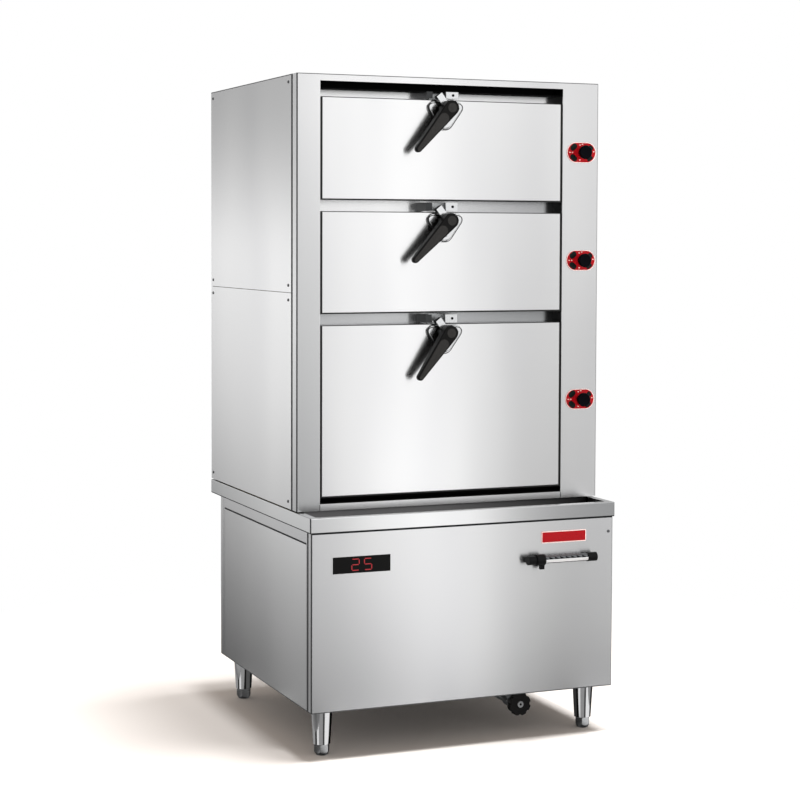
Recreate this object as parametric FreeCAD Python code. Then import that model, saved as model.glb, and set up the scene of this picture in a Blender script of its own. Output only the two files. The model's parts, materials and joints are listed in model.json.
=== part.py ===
import FreeCAD, Part
import math
import os

# Three-door steam cabinet: an insulated steam chest with three drop-down doors on a boiler
# base with a projecting rim and four adjustable feet. Millimetres, +Z up, front towards -Y.
# The origin lies on the floor below the middle of the whole outline.

V = FreeCAD.Vector

# Sheet metal and clearances
sheet = 1.5  # wall of every folded panel
seam = 1.5  # open joint between neighbouring panels
touch_gap = 0.3  # between pieces that move against each other
running_gap = 0.06  # radial, shaft in its bore
bend = 2.2  # outside radius of a folded edge
tolerance = 0.001  # for picking edges

# Base and rim
rim_side_step = 1.0  # rim beyond the chest on each side
body_depth = 900.0  # rim front to rim back
rim_height = 40.5
rim_flange = 20.0  # flat top edge of the rim
rim_lip = 10.0  # rim sheet folded in below
deck_drop = 20.0  # deck below the rim's top
panel_inset = 4.0  # rim face to base panel face
rear_overhang = 85.0  # rim back to base back
base_height = 482.0  # underside of the base to the underside of the rim
corner_return = 26.0  # front and back panels folded round the corner
post_strip = 12.0  # part of a post that shows beside the corner
tube_size = 30.0  # square tube of the base frame
tube_wall = 2.0
panel_fold = 15.0  # folded edge of a side panel

# Legs and feet
foot_height = 31.0
leg_height = 99.0
leg_top_radius = 29.5
leg_end_radius = 23.5
leg_side_inset = 55.0  # base face to leg axis
front_leg_inset = 70.0
back_leg_inset = 55.0
leg_plug = 8.0
foot_flats = 38.0  # across the flats of the foot's hexagon
foot_cap_height = 11.0
foot_cap_radius = 14.5
foot_stud_radius = 6.0
foot_stud_length = 52.0  # above the foot's body

# Chest
chest_width = 910.0
front_ledge = 113.0  # rim front to chest front
chest_lift = 3.5  # chest above the rim's top
plinth_inset = 12.0  # chest front to plinth front
plinth_side_inset = 25.0  # chest side to plinth side
side_seam_height = 590.0  # above the chest's underside
chest_fold = 12.0

# Front frame
left_stile = 66.0
right_stile = 113.0
bottom_rail = 17.5
top_rail = 18.5
top_slot = 20.5  # black slot above the top crossbar
frame_return = 42.0  # frame folded back along the sides
land_depth = 55.0  # frame front to the sealing land

# Doors
short_door = 275.0
tall_door = 466.0
door_side_gap = 5.5
bottom_gap = 19.0  # below the bottom door
bar_gap = 33.5  # crossbar that shows between two doors
top_bar = 21.5  # crossbar that shows above the top door
door_recess = 1.0
door_thickness = 48.0
chamber_overlap = 25.0  # door over the edge of its chamber
seal_inset = 10.0
seal_width = 14.0
edge_seal_depth = 9.5
edge_seal_setback = 2.5
bottom_seal_drop = 3.0
pan_field_inset = 34.0
pan_field_rise = 4.0
hinge_inset = 10.0  # hinge axis from the door's front and bottom faces
hinge_pin_radius = 5.0
frame_bush_length = 10.0
door_bush_length = 12.0
bush_wall = 3.0
pin_head_room = 1.0

# Chambers
insulation = 50.0
liner_back_room = 62.0  # liner back to chest back
bar_leg = 25.0
runner_width = 15.0
runner_height = 12.0
rack_lift = 28.0  # rack runners above the chamber floor
middle_rack_lift = 215.0  # second rack of the tall chamber
rack_side_gap = 2.0
rack_frame_radius = 4.0
rack_wire_radius = 2.5
rack_wire_pitch = 36.0
rack_setback = 20.0

# Latches
pivot_drop = 24.0  # latch axis below the door's top edge
plate_thickness = 8.0
plate_top_drop = 4.0
plate_width = 100.0
plate_height = 74.0
plate_corner = 16.0
plate_toe = 24.0
hub_radius = 16.0
hub_height = 21.5
spindle_radius = 6.0
tongue_thickness = 5.0
tongue_width = 19.0
tongue_length = 46.0
tongue_angle = 37.0  # left of upright
tongue_tip_gap = 0.5
lever_length = 149.0  # pivot to the centre of the tip
lever_head_radius = 21.0
lever_tip_radius = 9.0
lever_thickness = 26.0
lever_tip_thickness = 13.0
lever_stand = 1.5  # lever's back in front of the tongue
lever_edge = 4.0
lever_angles = {"top": 40.0, "middle": 44.0, "bottom": 36.0}  # left of hanging straight down
keeper_lift = 3.4  # over the door's top edge, which rises a little as the door opens
keeper_drop = 7.5  # keeper's top below the door above
keeper_base = 4.0
keeper_left = 58.0
keeper_right = 37.0
keeper_block_left = 2.0
keeper_ramp_width = 18.0
keeper_block_reach = 12.0  # block in front of the doors' faces

# Steam valves
valve_inset = 53.5  # valve axis to the chest's side
valve_drops = {"top": 136.0, "middle": 134.0, "bottom": 222.0}  # below the door's top edge
label_width = 92.0
label_height = 58.0
label_thickness = 1.2
valve_spindle_radius = 5.0
spindle_hole_gap = 1.0
knob_radius = 21.5
knob_skirt = 7.0
knob_height = 30.0
knob_grip_width = 15.0
knob_drum_radius = 15.0
riser_radius = 17.0
riser_wall = 1.5
riser_depth = 210.0  # chest front to riser axis
valve_depth = 120.0  # chest front to valve axis
valve_radius = 24.0
valve_length = 56.0
bonnet_radius = 12.0
bonnet_length = 22.0
branch_radius = 13.0

# Base fittings, heights below the rim's underside
display_inset = 142.5  # display's middle to the base's left side
display_drop = 89.0
display_width = 165.5
display_height = 45.0
display_thickness = 3.0
display_lip = 4.0
display_lip_rise = 1.0
nameplate_inset = 155.0  # nameplate's middle to the base's right side
nameplate_drop = 48.5
nameplate_width = 140.0
nameplate_height = 33.0
nameplate_corner = 4.0
rail_inset = 64.0  # rail's right end to the base's right side
rail_length = 213.0
rail_drop = 107.0
rail_radius = 10.5
rail_standoff = 20.0  # rail axis to panel face
rail_boss_length = 25.0
rail_boss_radius = 12.5
rail_cap_length = 28.0
rail_foot_height = 16.0
slider_length = 25.0
slider_radius = 16.0
slider_tab_drop = 10.0  # tab below the collar
slider_tab_width = 13.0
slider_tab_depth = 9.0

# Water tank and drain
tank_side_gap = 22.0  # tank to the base's right side
tank_module_gap = 20.0
tank_setback = 20.0  # tank front before the chest front
tank_back_gap = 162.0  # tank to the base's back
tank_lift = 180.0  # above the base floor
tank_height = 260.0
tank_wall = 2.0
tank_leg = 30.0
drain_inset = 240.0  # drain axis to the base's right side
drain_height = 75.0  # drain axis above the floor
drain_radius = 15.0
drain_wall = 2.5
drain_valve_depth = 45.0  # chest front to valve centre
drain_valve_radius = 20.0
drain_valve_length = 40.0
drain_elbow_height = 40.0  # elbow above the base floor
drain_stem_radius = 5.0
drain_outlet_reach = 70.0  # outlet's end behind the base
drain_thread_radius = 16.6
drain_thread_length = 30.0
drain_hole_gap = 1.5
wheel_radius = 33.0
wheel_thickness = 18.0
wheel_lobes = 8
wheel_notch_radius = 7.0
wheel_notch_depth = 3.8
wheel_depth = -13.0  # wheel's front from the chest front
wheel_nut_radius = 9.0
wheel_nut_rise = 3.0

# Induction coil
coil_radius = 180.0
coil_bore = 30.0
coil_thickness = 14.0
coil_gap = 6.0  # below the tank
coil_post_radius = 8.0
coil_bars = 6
coil_bar_width = 20.0
coil_bar_thickness = 8.0

# Power module, fan and cable gland
module_side_gap = 42.0
module_width = 280.0
module_depth = 330.0
module_height = 260.0
module_back_gap = 40.0
module_foot = 15.0
module_wall = 2.0
fan_radius = 55.0
fan_hub_radius = 20.0
fan_hub_length = 24.0
fan_blades = 7
fan_blade_thickness = 2.0
fan_blade_pitch = 35.0
fan_tip_gap = 3.0
fan_shaft_radius = 3.0
fan_setback = 12.0
motor_radius = 16.0
motor_length = 20.0
motor_bar = 12.0
gland_inset = 67.0  # gland axis to the base's left side
gland_lift = 55.0  # above the base floor
gland_radius = 14.0
gland_bore = 7.0
gland_reach = 24.0
gland_flange_radius = 19.0
gland_flange = 5.0

# Feed-water box, float and inlet
feed_inset = 122.0  # box to the base's right side
feed_width = 200.0
feed_depth = 130.0
feed_height = 170.0
feed_lift = 200.0
feed_wall = 1.5
inlet_radius = 12.5
inlet_bore = 7.5
inlet_collar = 8.0  # plain part that stands out of the back panel
inlet_thread_radius = 10.45
inlet_thread_length = 24.0
inlet_drop = 30.0  # below the box's top
float_radius = 32.0
float_arm_radius = 3.0
float_arm_length = 80.0
float_pin_radius = 3.0
float_pin_length = 34.0
float_bush_radius = 6.0
float_bush_length = 16.0
float_drop = 46.0  # pin below the box's top
float_fall = 25.0  # arm's angle below level with the box empty

# Louvres and screws
louvre_count = 8
louvre_pitch = 20.0
louvre_width = 150.0
louvre_height = 6.0
louvre_inset = 162.0  # louvres' middle to the base's side
louvre_lift = 130.0
screw_radius = 4.2
screw_rise = 2.2
screw_inset = 20.0
screw_front_inset = 27.0
front_screw_inset = 14.0
front_screw_drop = 42.0

# Places worked out from the sizes
slider_reach = rail_standoff + slider_radius - panel_inset
rim_front = -(body_depth - slider_reach + screw_rise) / 2
rim_back = rim_front + body_depth
chest_x = chest_width / 2
rim_x = chest_x + rim_side_step
base_x = rim_x - panel_inset
base_front = rim_front + panel_inset
base_back = rim_back - rear_overhang
base_inner_x = base_x - sheet
chest_front = rim_front + front_ledge
chest_back = rim_back
chest_inner_x = chest_x - sheet

base_z = foot_height + leg_height
base_floor = base_z + sheet
rim_z = base_z + base_height
rim_top = rim_z + rim_height
deck_z = rim_top - deck_drop
chest_z = rim_top + chest_lift

open_left = -chest_x + left_stile
open_right = chest_x - right_stile
open_bottom = chest_z + bottom_rail
door_left = open_left + door_side_gap
door_right = open_right - door_side_gap
door_middle_x = (door_left + door_right) / 2
door_front = chest_front + door_recess
door_back = door_front + door_thickness
land_y = chest_front + land_depth

door_names = ("top", "middle", "bottom")
door_bottom = {"bottom": open_bottom + bottom_gap}
door_top = {"bottom": door_bottom["bottom"] + tall_door}
door_bottom["middle"] = door_top["bottom"] + bar_gap
door_top["middle"] = door_bottom["middle"] + short_door
door_bottom["top"] = door_top["middle"] + bar_gap
door_top["top"] = door_bottom["top"] + short_door
bar_top = door_top["top"] + top_bar
open_top = bar_top + top_slot
chest_top = open_top + top_rail
above = {"top": bar_top, "middle": door_bottom["top"], "bottom": door_bottom["middle"]}

chamber_left = door_left + chamber_overlap
chamber_right = door_right - chamber_overlap
chamber_back = chest_back - liner_back_room
chamber_bottom = {name: door_bottom[name] + chamber_overlap for name in door_names}
chamber_top = {name: door_top[name] - chamber_overlap for name in door_names}
liner_front = land_y + sheet
seam_z = chest_z + side_seam_height
valve_z = {name: door_top[name] - valve_drops[name] for name in door_names}
riser_y = chest_front + riser_depth
valve_x = chest_x - valve_inset
valve_y = chest_front + valve_depth
module_left = -base_x + module_side_gap
module_right = module_left + module_width
tank_left = module_right + tank_module_gap
tank_right = base_x - tank_side_gap
tank_floor = base_floor + tank_lift
tank_top = tank_floor + tank_height
tank_front = chest_front - tank_setback
tank_back = base_back - tank_back_gap
rail_end = base_x - rail_inset
rail_start = rail_end - rail_length
rail_y = base_front - rail_standoff
rail_z = rim_z - rail_drop
display_x = -base_x + display_inset
display_z = rim_z - display_drop
nameplate_x = base_x - nameplate_inset
nameplate_z = rim_z - nameplate_drop
drain_x = base_x - drain_inset
drain_y = chest_front + drain_valve_depth
elbow_z = base_floor + drain_elbow_height
elbow_x = drain_x - (elbow_z - drain_height)
gland_x = -base_x + gland_inset
gland_z = base_floor + gland_lift
module_back = base_back - module_back_gap
fan_x = (module_left + module_right) / 2
fan_y = module_back - module_wall - fan_setback
fan_z = base_floor + module_foot + module_height / 2
feed_back = base_back - sheet - gland_flange
feed_front = feed_back - feed_depth
feed_right = base_x - feed_inset
feed_left = feed_right - feed_width
feed_top = base_floor + feed_lift + feed_height
inlet_x = (feed_left + feed_right) / 2
inlet_z = feed_top - inlet_drop
float_y = feed_back - feed_wall - 2 * float_bush_radius
float_z = feed_top - float_drop


# Shapes that repeat
def box(x0, x1, y0, y1, z0, z1):
    return Part.makeBox(x1 - x0, y1 - y0, z1 - z0, V(x0, y0, z0))


def rod(start, end, radius):
    line = end - start
    return Part.makeCylinder(radius, line.Length, start, line)


def along_x(y, z, x0, x1, radius):
    return rod(V(x0, y, z), V(x1, y, z), radius)


def along_y(x, z, y0, y1, radius):
    return rod(V(x, y0, z), V(x, y1, z), radius)


def along_z(x, y, z0, z1, radius):
    return rod(V(x, y, z0), V(x, y, z1), radius)


def taper(start, end, start_radius, end_radius):
    line = end - start
    return Part.makeCone(start_radius, end_radius, line.Length, start, line)


def fuse(shapes):
    shapes = list(shapes)
    return shapes[0].fuse(shapes[1:]).removeSplitter()


def cut(shape, tools):
    return shape.cut(list(tools))


def group(shapes):
    return Part.makeCompound(list(shapes))


def tray(x0, x1, y0, y1, z0, z1, mouth, wall):
    """A folded pan: a thin-walled box that is open on one side, such as "-y"."""
    low = {"x": x0 + wall, "y": y0 + wall, "z": z0 + wall}
    high = {"x": x1 - wall, "y": y1 - wall, "z": z1 - wall}
    if mouth[0] == "-":
        low[mouth[1]] -= 2 * wall
    else:
        high[mouth[1]] += 2 * wall
    hollow = box(low["x"], high["x"], low["y"], high["y"], low["z"], high["z"])
    return box(x0, x1, y0, y1, z0, z1).cut(hollow)


def edges_at(shape, **places):
    """The edges whose two ends both lie at the given x, y or z."""

    def there(point):
        return all(abs(getattr(point, axis) - place) < tolerance for axis, place in places.items())

    edges = [edge for edge in shape.Edges if len(edge.Vertexes) == 2]
    return [edge for edge in edges if all(there(vertex.Point) for vertex in edge.Vertexes)]


def rounded(shape, radius, *places):
    edges = [edge for place in places for edge in edges_at(shape, **place)]
    return shape.makeFillet(radius, edges)


def hull(circles, depth, y):
    """A plate from y backwards whose outline wraps round circles (x, z, radius), listed anticlockwise."""
    tangents = []
    for (x0, z0, r0), (x1, z1, r1) in zip(circles, circles[1:] + circles[:1]):
        way = math.atan2(z1 - z0, x1 - x0)
        tangents.append(way - math.acos((r0 - r1) / math.hypot(x1 - x0, z1 - z0)))
    edges = []
    for i, (x, z, r) in enumerate(circles):
        start, end = tangents[i - 1], tangents[i]
        sweep = (end - start) % (2 * math.pi)
        turns = (start, start + sweep / 2, end)
        points = [V(x + r * math.cos(turn), y, z + r * math.sin(turn)) for turn in turns]
        edges.append(Part.Arc(*points).toShape())
        x1, z1, r1 = circles[(i + 1) % len(circles)]
        line_end = V(x1 + r1 * math.cos(end), y, z1 + r1 * math.sin(end))
        edges.append(Part.LineSegment(points[2], line_end).toShape())
    return Part.Face(Part.Wire(edges)).extrude(V(0, depth, 0))


def turned(shape, angle, x, z):
    """The shape turned about a line along Y, clockwise as seen from the front."""
    copy = shape.copy()
    copy.rotate(V(x, 0, z), V(0, 1, 0), angle)
    return copy


def span(side, inner, outer):
    """The x limits of something that lies between two distances from the middle, on one side."""
    return (inner, outer) if side > 0 else (-outer, -inner)


# Base
def base_frame():
    post_size = corner_return + seam + post_strip - sheet
    inner = base_inner_x - post_size
    front, back = base_front + sheet, base_back - sheet
    low, high = base_floor, rim_z
    members = []
    hollows = []

    def tube(x0, x1, y0, y1, z0, z1):
        members.append(box(x0, x1, y0, y1, z0, z1))
        w = tube_wall
        hollows.append(box(x0 + w, x1 - w, y0 + w, y1 - w, z0 + w, z1 - w))

    for side in (-1, 1):
        x0, x1 = span(side, inner, base_inner_x)
        for y in (front, back - post_size):
            tube(x0, x1, y, y + post_size, low, high)
        rail = span(side, base_inner_x - tube_size, base_inner_x)
        tube(*rail, front + post_size, back - post_size, low, low + tube_size)
        tube(*rail, front + post_size, back - post_size, high - tube_size, high)
    for y in (front, back - tube_size):
        tube(-inner, inner, y, y + tube_size, low, low + tube_size)
        tube(-inner, inner, y, y + tube_size, high - tube_size, high)

    strip_start = base_front + corner_return + seam
    strip_end = base_back - corner_return - seam
    strips = []
    for side in (-1, 1):
        skin = span(side, base_inner_x, base_x)
        strips.append(box(*skin, strip_start, strip_end, high - tube_size, high))
        for y in (strip_start, strip_end - post_strip):
            strips.append(box(*skin, y, y + post_strip, base_z, high - tube_size))
    floor = box(-base_inner_x, base_inner_x, front, back, base_z, base_floor)
    frame = cut(fuse(members), hollows)
    frame = fuse([frame, floor] + strips)
    return cut(frame, [drain_pipe(drain_radius + drain_hole_gap)])


def base_cover(y, folded_back):
    """A flat front or back panel with its two sides folded round the corners."""
    y0, y1 = (y, y + corner_return) if folded_back else (y - corner_return, y)
    plate = (y, y + sheet) if folded_back else (y - sheet, y)
    pieces = [box(-base_x, base_x, *plate, base_z, rim_z)]
    pieces += [box(*span(side, base_inner_x, base_x), y0, y1, base_z, rim_z) for side in (-1, 1)]
    cover = fuse(pieces)
    return rounded(cover, bend, dict(x=-base_x, y=y), dict(x=base_x, y=y))


def base_front_panel():
    panel = base_cover(base_front, True)
    z = display_z
    half_width, half_height = display_width / 2, display_height / 2
    lip = box(
        display_x - half_width - display_lip,
        display_x + half_width + display_lip,
        base_front - display_lip_rise,
        base_front,
        z - half_height - display_lip,
        z + half_height + display_lip,
    )
    window = box(
        display_x - half_width,
        display_x + half_width,
        base_front - display_lip_rise,
        base_front + sheet,
        z - half_height,
        z + half_height,
    )
    return cut(fuse([panel, lip]), [window])


def base_side_panels():
    front = base_front + corner_return + seam + post_strip + seam
    back = base_back - corner_return - seam - post_strip - seam
    top = rim_z - tube_size - seam

    def panel(side):
        skin = box(*span(side, base_inner_x, base_x), front, back, base_z, top)
        fold = span(side, base_x - panel_fold, base_x)
        low = base_floor + tube_size + seam
        folds = [box(*fold, y, y + sheet, low, top) for y in (front, back - sheet)]
        return fuse([skin] + folds)

    return group(panel(side) for side in (-1, 1))


def louvres(y, z):
    slots = []
    reach = base_x - louvre_inset
    for x in (-reach, reach):
        for row in range(louvre_count):
            low = z + row * louvre_pitch
            x0, x1 = x - louvre_width / 2, x + louvre_width / 2
            slots.append(box(x0, x1, y - sheet, y, low, low + louvre_height))
    return slots


def back_panels():
    base = base_cover(base_back, False)
    holes = louvres(base_back, base_floor + louvre_lift)
    holes.append(along_y(gland_x, gland_z, base_back - sheet, base_back, gland_radius))
    holes.append(along_y(inlet_x, inlet_z, base_back - sheet, base_back, inlet_radius))
    chest = tray(
        -chest_inner_x,
        chest_inner_x,
        chest_back - chest_fold,
        chest_back,
        chest_z,
        chest_top - sheet,
        "-y",
        sheet,
    )
    return group([cut(base, holes), chest])


def worktop():
    skirt = tray(-rim_x, rim_x, rim_front, rim_back, rim_z, rim_top, "-z", sheet)
    flange = rim_flange
    pan_x = rim_x - flange
    pan = box(-pan_x, pan_x, rim_front + flange, rim_back - flange, deck_z, rim_top)
    plinth_x = chest_x - plinth_side_inset
    plinth_front = chest_front + plinth_inset
    plinth_back = rim_back - flange - plinth_inset
    plinth = box(-plinth_x, plinth_x, plinth_front, plinth_back, deck_z, chest_z)
    well = tray(-pan_x, pan_x, rim_front + flange, rim_back - flange, deck_z, rim_top, "+z", sheet)
    step = tray(-plinth_x, plinth_x, plinth_front, plinth_back, deck_z, chest_z, "-z", sheet)
    lips = []
    for side in (-1, 1):
        lips.append(box(*span(side, rim_x - rim_lip, rim_x), rim_front, rim_back, rim_z, rim_z + sheet))
    lips.append(box(-rim_x, rim_x, rim_front, rim_front + rim_lip, rim_z, rim_z + sheet))
    lips.append(box(-rim_x, rim_x, rim_back - rim_lip, rim_back, rim_z, rim_z + sheet))
    top = fuse([cut(skirt, [pan]), cut(well, [plinth]), step] + lips)
    top = rounded(
        top,
        bend,
        dict(x=-rim_x, z=rim_top),
        dict(x=rim_x, z=rim_top),
        dict(y=rim_front, z=rim_top),
        dict(x=-rim_x, y=rim_front),
        dict(x=rim_x, y=rim_front),
    )
    hole = along_z(valve_x, riser_y, deck_z, chest_z, riser_radius)
    return cut(top, [hole])


def leg_places():
    x = base_x - leg_side_inset
    places = {}
    for row, y in (("front", base_front + front_leg_inset), ("back", base_back - back_leg_inset)):
        places[row + "_left"] = V(-x, y, 0)
        places[row + "_right"] = V(x, y, 0)
    return places


def leg_tubes():
    def leg(place):
        foot, top = place + V(0, 0, foot_height), place + V(0, 0, base_z)
        shell = taper(foot, top, leg_end_radius, leg_top_radius)
        low, high = foot + V(0, 0, leg_plug), top - V(0, 0, tube_wall)
        hollow = taper(low, high, leg_end_radius - tube_wall, leg_top_radius - tube_wall)
        bore = rod(foot, low, foot_stud_radius + running_gap)
        return cut(shell, [hollow, bore])

    return group(leg(place) for place in leg_places().values())


def foot(place):
    shoulder = foot_height - touch_gap
    corner_radius = foot_flats / 2 / math.cos(math.radians(30))
    corners = []
    for step in range(7):
        turn = math.radians(60 * step)
        corners.append(place + V(corner_radius * math.cos(turn), corner_radius * math.sin(turn), 0))
    hexagon = Part.Face(Part.makePolygon(corners)).extrude(V(0, 0, shoulder))
    lift = V(0, 0, foot_cap_height)
    bevel = corner_radius - foot_flats / 2
    dome = fuse(
        [
            taper(place, place + lift, foot_cap_radius, corner_radius),
            rod(place + lift, place + V(0, 0, shoulder - bevel), corner_radius),
            taper(
                place + V(0, 0, shoulder - bevel),
                place + V(0, 0, shoulder),
                corner_radius,
                foot_flats / 2,
            ),
        ]
    )
    stud = rod(place + V(0, 0, shoulder), place + V(0, 0, shoulder + foot_stud_length), foot_stud_radius)
    return fuse([hexagon.common(dome), stud])


# Front panel fittings
def display_window():
    z = display_z
    return box(
        display_x - display_width / 2,
        display_x + display_width / 2,
        base_front + sheet - display_thickness,
        base_front + sheet,
        z - display_height / 2,
        z + display_height / 2,
    )


def power_rail():
    return along_x(rail_y, rail_z, rail_start + sheet, rail_end - sheet, rail_radius)


def rail_brackets():
    def bracket(x0, x1, radius):
        boss = along_x(rail_y, rail_z, x0, x1, radius)
        foot_half = rail_foot_height / 2
        stem = box(x0 + bend, x1 - bend, rail_y, base_front, rail_z - foot_half, rail_z + foot_half)
        return cut(fuse([boss, stem]), [power_rail()])

    left = bracket(rail_start, rail_start + rail_boss_length, rail_boss_radius)
    right = bracket(rail_end - rail_cap_length, rail_end, rail_boss_radius)
    return group([left, right])


def power_slider():
    x0 = rail_start + rail_boss_length + touch_gap
    x1 = x0 + slider_length
    collar = along_x(rail_y, rail_z, x0, x1, slider_radius)
    tab = box(
        x1 - slider_tab_width,
        x1,
        rail_y - slider_tab_depth / 2,
        rail_y + slider_tab_depth / 2,
        rail_z - slider_radius - slider_tab_drop,
        rail_z,
    )
    bore = along_x(rail_y, rail_z, x0, x1, rail_radius + running_gap)
    return cut(fuse([collar, tab]), [bore])


def valve_label(name):
    half, end, z = (label_width - label_height) / 2, label_height / 2, valve_z[name]
    y = chest_front - label_thickness
    plate = hull([(valve_x - half, z, end), (valve_x + half, z, end)], label_thickness, y)
    hole = along_y(valve_x, z, y, chest_front, valve_spindle_radius + spindle_hole_gap)
    return cut(plate, [hole])


def front_labels():
    plates = [valve_label(name) for name in door_names]
    z = nameplate_z
    plate = box(
        nameplate_x - nameplate_width / 2,
        nameplate_x + nameplate_width / 2,
        base_front - label_thickness,
        base_front,
        z - nameplate_height / 2,
        z + nameplate_height / 2,
    )
    corners = [edge for edge in plate.Edges if abs(edge.Length - label_thickness) < tolerance]
    return group(plates + [plate.makeFillet(nameplate_corner, corners)])


# Chest shell
def front_frame():
    front, back = chest_front, chest_front + frame_return
    shell = tray(-chest_x, chest_x, front, back, chest_z, chest_top, "+y", sheet)
    opening = box(open_left, open_right, front, back, open_bottom, open_top)
    lining = cut(
        box(
            open_left - sheet,
            open_right + sheet,
            front,
            liner_front,
            open_bottom - sheet,
            open_top + sheet,
        ),
        [box(open_left, open_right, front, liner_front, open_bottom, open_top)],
    )
    lands = [
        box(open_left, chamber_left, land_y, liner_front, open_bottom, bar_top),
        box(chamber_right, open_right, land_y, liner_front, open_bottom, bar_top),
    ]
    lands = [cut(land, crossbar_faces()) for land in lands]
    bushes = []
    for name in door_names:
        y, z = hinge_place(name)
        for x0, x1 in frame_bush_spans():
            bushes.append(along_x(y, z, x0, x1, hinge_pin_radius + bush_wall))
    frame = fuse([cut(shell, [opening]), lining] + lands + bushes)
    frame = rounded(
        frame,
        bend,
        dict(x=-chest_x, y=front),
        dict(x=chest_x, y=front),
        dict(y=front, z=chest_top),
    )
    holes = [pin for name in door_names for pin in hinge_pin_pair(name)]
    spindle_hole = valve_spindle_radius + spindle_hole_gap
    for name in door_names:
        z = valve_z[name]
        holes.append(along_y(valve_x, z, front, front + sheet, spindle_hole))
    return cut(frame, holes)


def chest_side_panels():
    front = chest_front + frame_return + seam
    spans = [(chest_z, seam_z - seam / 2), (seam_z + seam / 2, chest_top)]

    def panel(side, z0, z1):
        skin = box(*span(side, chest_inner_x, chest_x), front, chest_back, z0, z1)
        fold = span(side, chest_x - chest_fold, chest_x)
        folds = [box(*fold, front, front + sheet, z0 + chest_fold, z1 - chest_fold - 2 * sheet)]
        inner = z1 - sheet if z0 == chest_z else z0
        folds.append(box(*fold, front, chest_back - chest_fold - seam, inner, inner + sheet))
        return fuse([skin] + folds)

    return group(panel(side, z0, z1) for side in (-1, 1) for z0, z1 in spans)


def chest_top_panel():
    front = chest_front + frame_return + seam
    return tray(
        -chest_inner_x,
        chest_inner_x,
        front,
        chest_back,
        chest_top - chest_fold - sheet,
        chest_top,
        "-z",
        sheet,
    ).cut(box(-chest_x, chest_x, chest_back - chest_fold - seam, chest_back, 0, chest_top - sheet))


def crossbar_spans():
    """Bottom and top edge of each crossbar's face, from the sill upwards."""
    return [
        (open_bottom, chamber_bottom["bottom"]),
        (chamber_top["bottom"], chamber_bottom["middle"]),
        (chamber_top["middle"], chamber_bottom["top"]),
        (chamber_top["top"], bar_top),
    ]


def crossbar_faces():
    return [box(open_left, open_right, land_y, liner_front, z0, z1) for z0, z1 in crossbar_spans()]


def crossbars():
    bars = []
    for (z0, z1), face in zip(crossbar_spans(), crossbar_faces()):
        low = z0 if z0 == open_bottom else z0 + sheet
        high = z1 - sheet if z1 == bar_top else z1 - 2 * sheet
        legs = [
            box(chamber_left, chamber_right, liner_front - sheet, liner_front + bar_leg, z, z + sheet)
            for z in (low, high)
        ]
        bars.append(fuse([face] + legs))
    return group(bars)


def slot_liners():
    inner_front = chest_front + 2 * sheet
    slot = tray(open_left, open_right, inner_front, liner_front, bar_top, open_top, "-y", sheet)
    floor = box(open_left, open_right, inner_front, land_y, open_bottom, open_bottom + sheet)
    back_top = door_bottom["bottom"] - seam
    back = box(open_left, open_right, land_y - sheet, land_y, open_bottom, back_top)
    return group([slot, fuse([floor, back])])


def liner(name):
    """A four-sided wrapper, the back welded to it, and the runners that carry the racks."""
    z0, z1 = chamber_bottom[name], chamber_top[name]
    front, back = liner_front, chamber_back - sheet
    wrapper = cut(
        box(chamber_left - sheet, chamber_right + sheet, front, back, z0 - sheet, z1 + sheet),
        [
            box(chamber_left, chamber_right, front, back, z0, z1),
            rod(
                V(chamber_right, valve_y, valve_z[name]),
                V(chamber_right + sheet, valve_y, valve_z[name]),
                branch_radius,
            ),
        ],
    )
    rear = box(chamber_left - sheet, chamber_right + sheet, back, chamber_back, z0 - sheet, z1 + sheet)
    runners = []
    for lift in rack_lifts(name):
        top = z0 + lift
        start = front + rack_setback
        for wall, inward in ((chamber_left, 1), (chamber_right, -1)):
            x_thin = sorted((wall, wall + inward * sheet))
            x_wide = sorted((wall, wall + inward * runner_width))
            upright = box(*x_thin, start, back, top - runner_height, top)
            runners.append(fuse([upright, box(*x_wide, start, back, top - sheet, top)]))
    return group([wrapper, rear] + runners)


def rack_lifts(name):
    return (rack_lift, middle_rack_lift) if name == "bottom" else (rack_lift,)


def rack(z):
    """A wire shelf whose underside lies at z."""
    x0, x1 = chamber_left + rack_side_gap, chamber_right - rack_side_gap
    y0, y1 = liner_front + rack_setback, chamber_back - sheet - rack_side_gap
    r = rack_frame_radius
    level = z + r
    places = ((x0 + r, y0 + r), (x1 - r, y0 + r), (x1 - r, y1 - r), (x0 + r, y1 - r))
    corners = [V(x, y, level) for x, y in places]
    bars = [rod(corners[i - 1], corner, r) for i, corner in enumerate(corners)]
    bars += [Part.makeSphere(r, corner) for corner in corners]
    inner_width = x1 - x0 - 2 * r
    count = int(inner_width / rack_wire_pitch)
    for i in range(1, count):
        x = x0 + r + i * inner_width / count
        bars.append(along_y(x, level, y0 + r, y1 - r, rack_wire_radius))
    middle = (y0 + y1) / 2
    bars.append(along_x(middle, level, x0 + r, x1 - r, rack_wire_radius))
    return fuse(bars)


def racks():
    return group(rack(chamber_bottom[name] + lift) for name in door_names for lift in rack_lifts(name))


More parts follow.
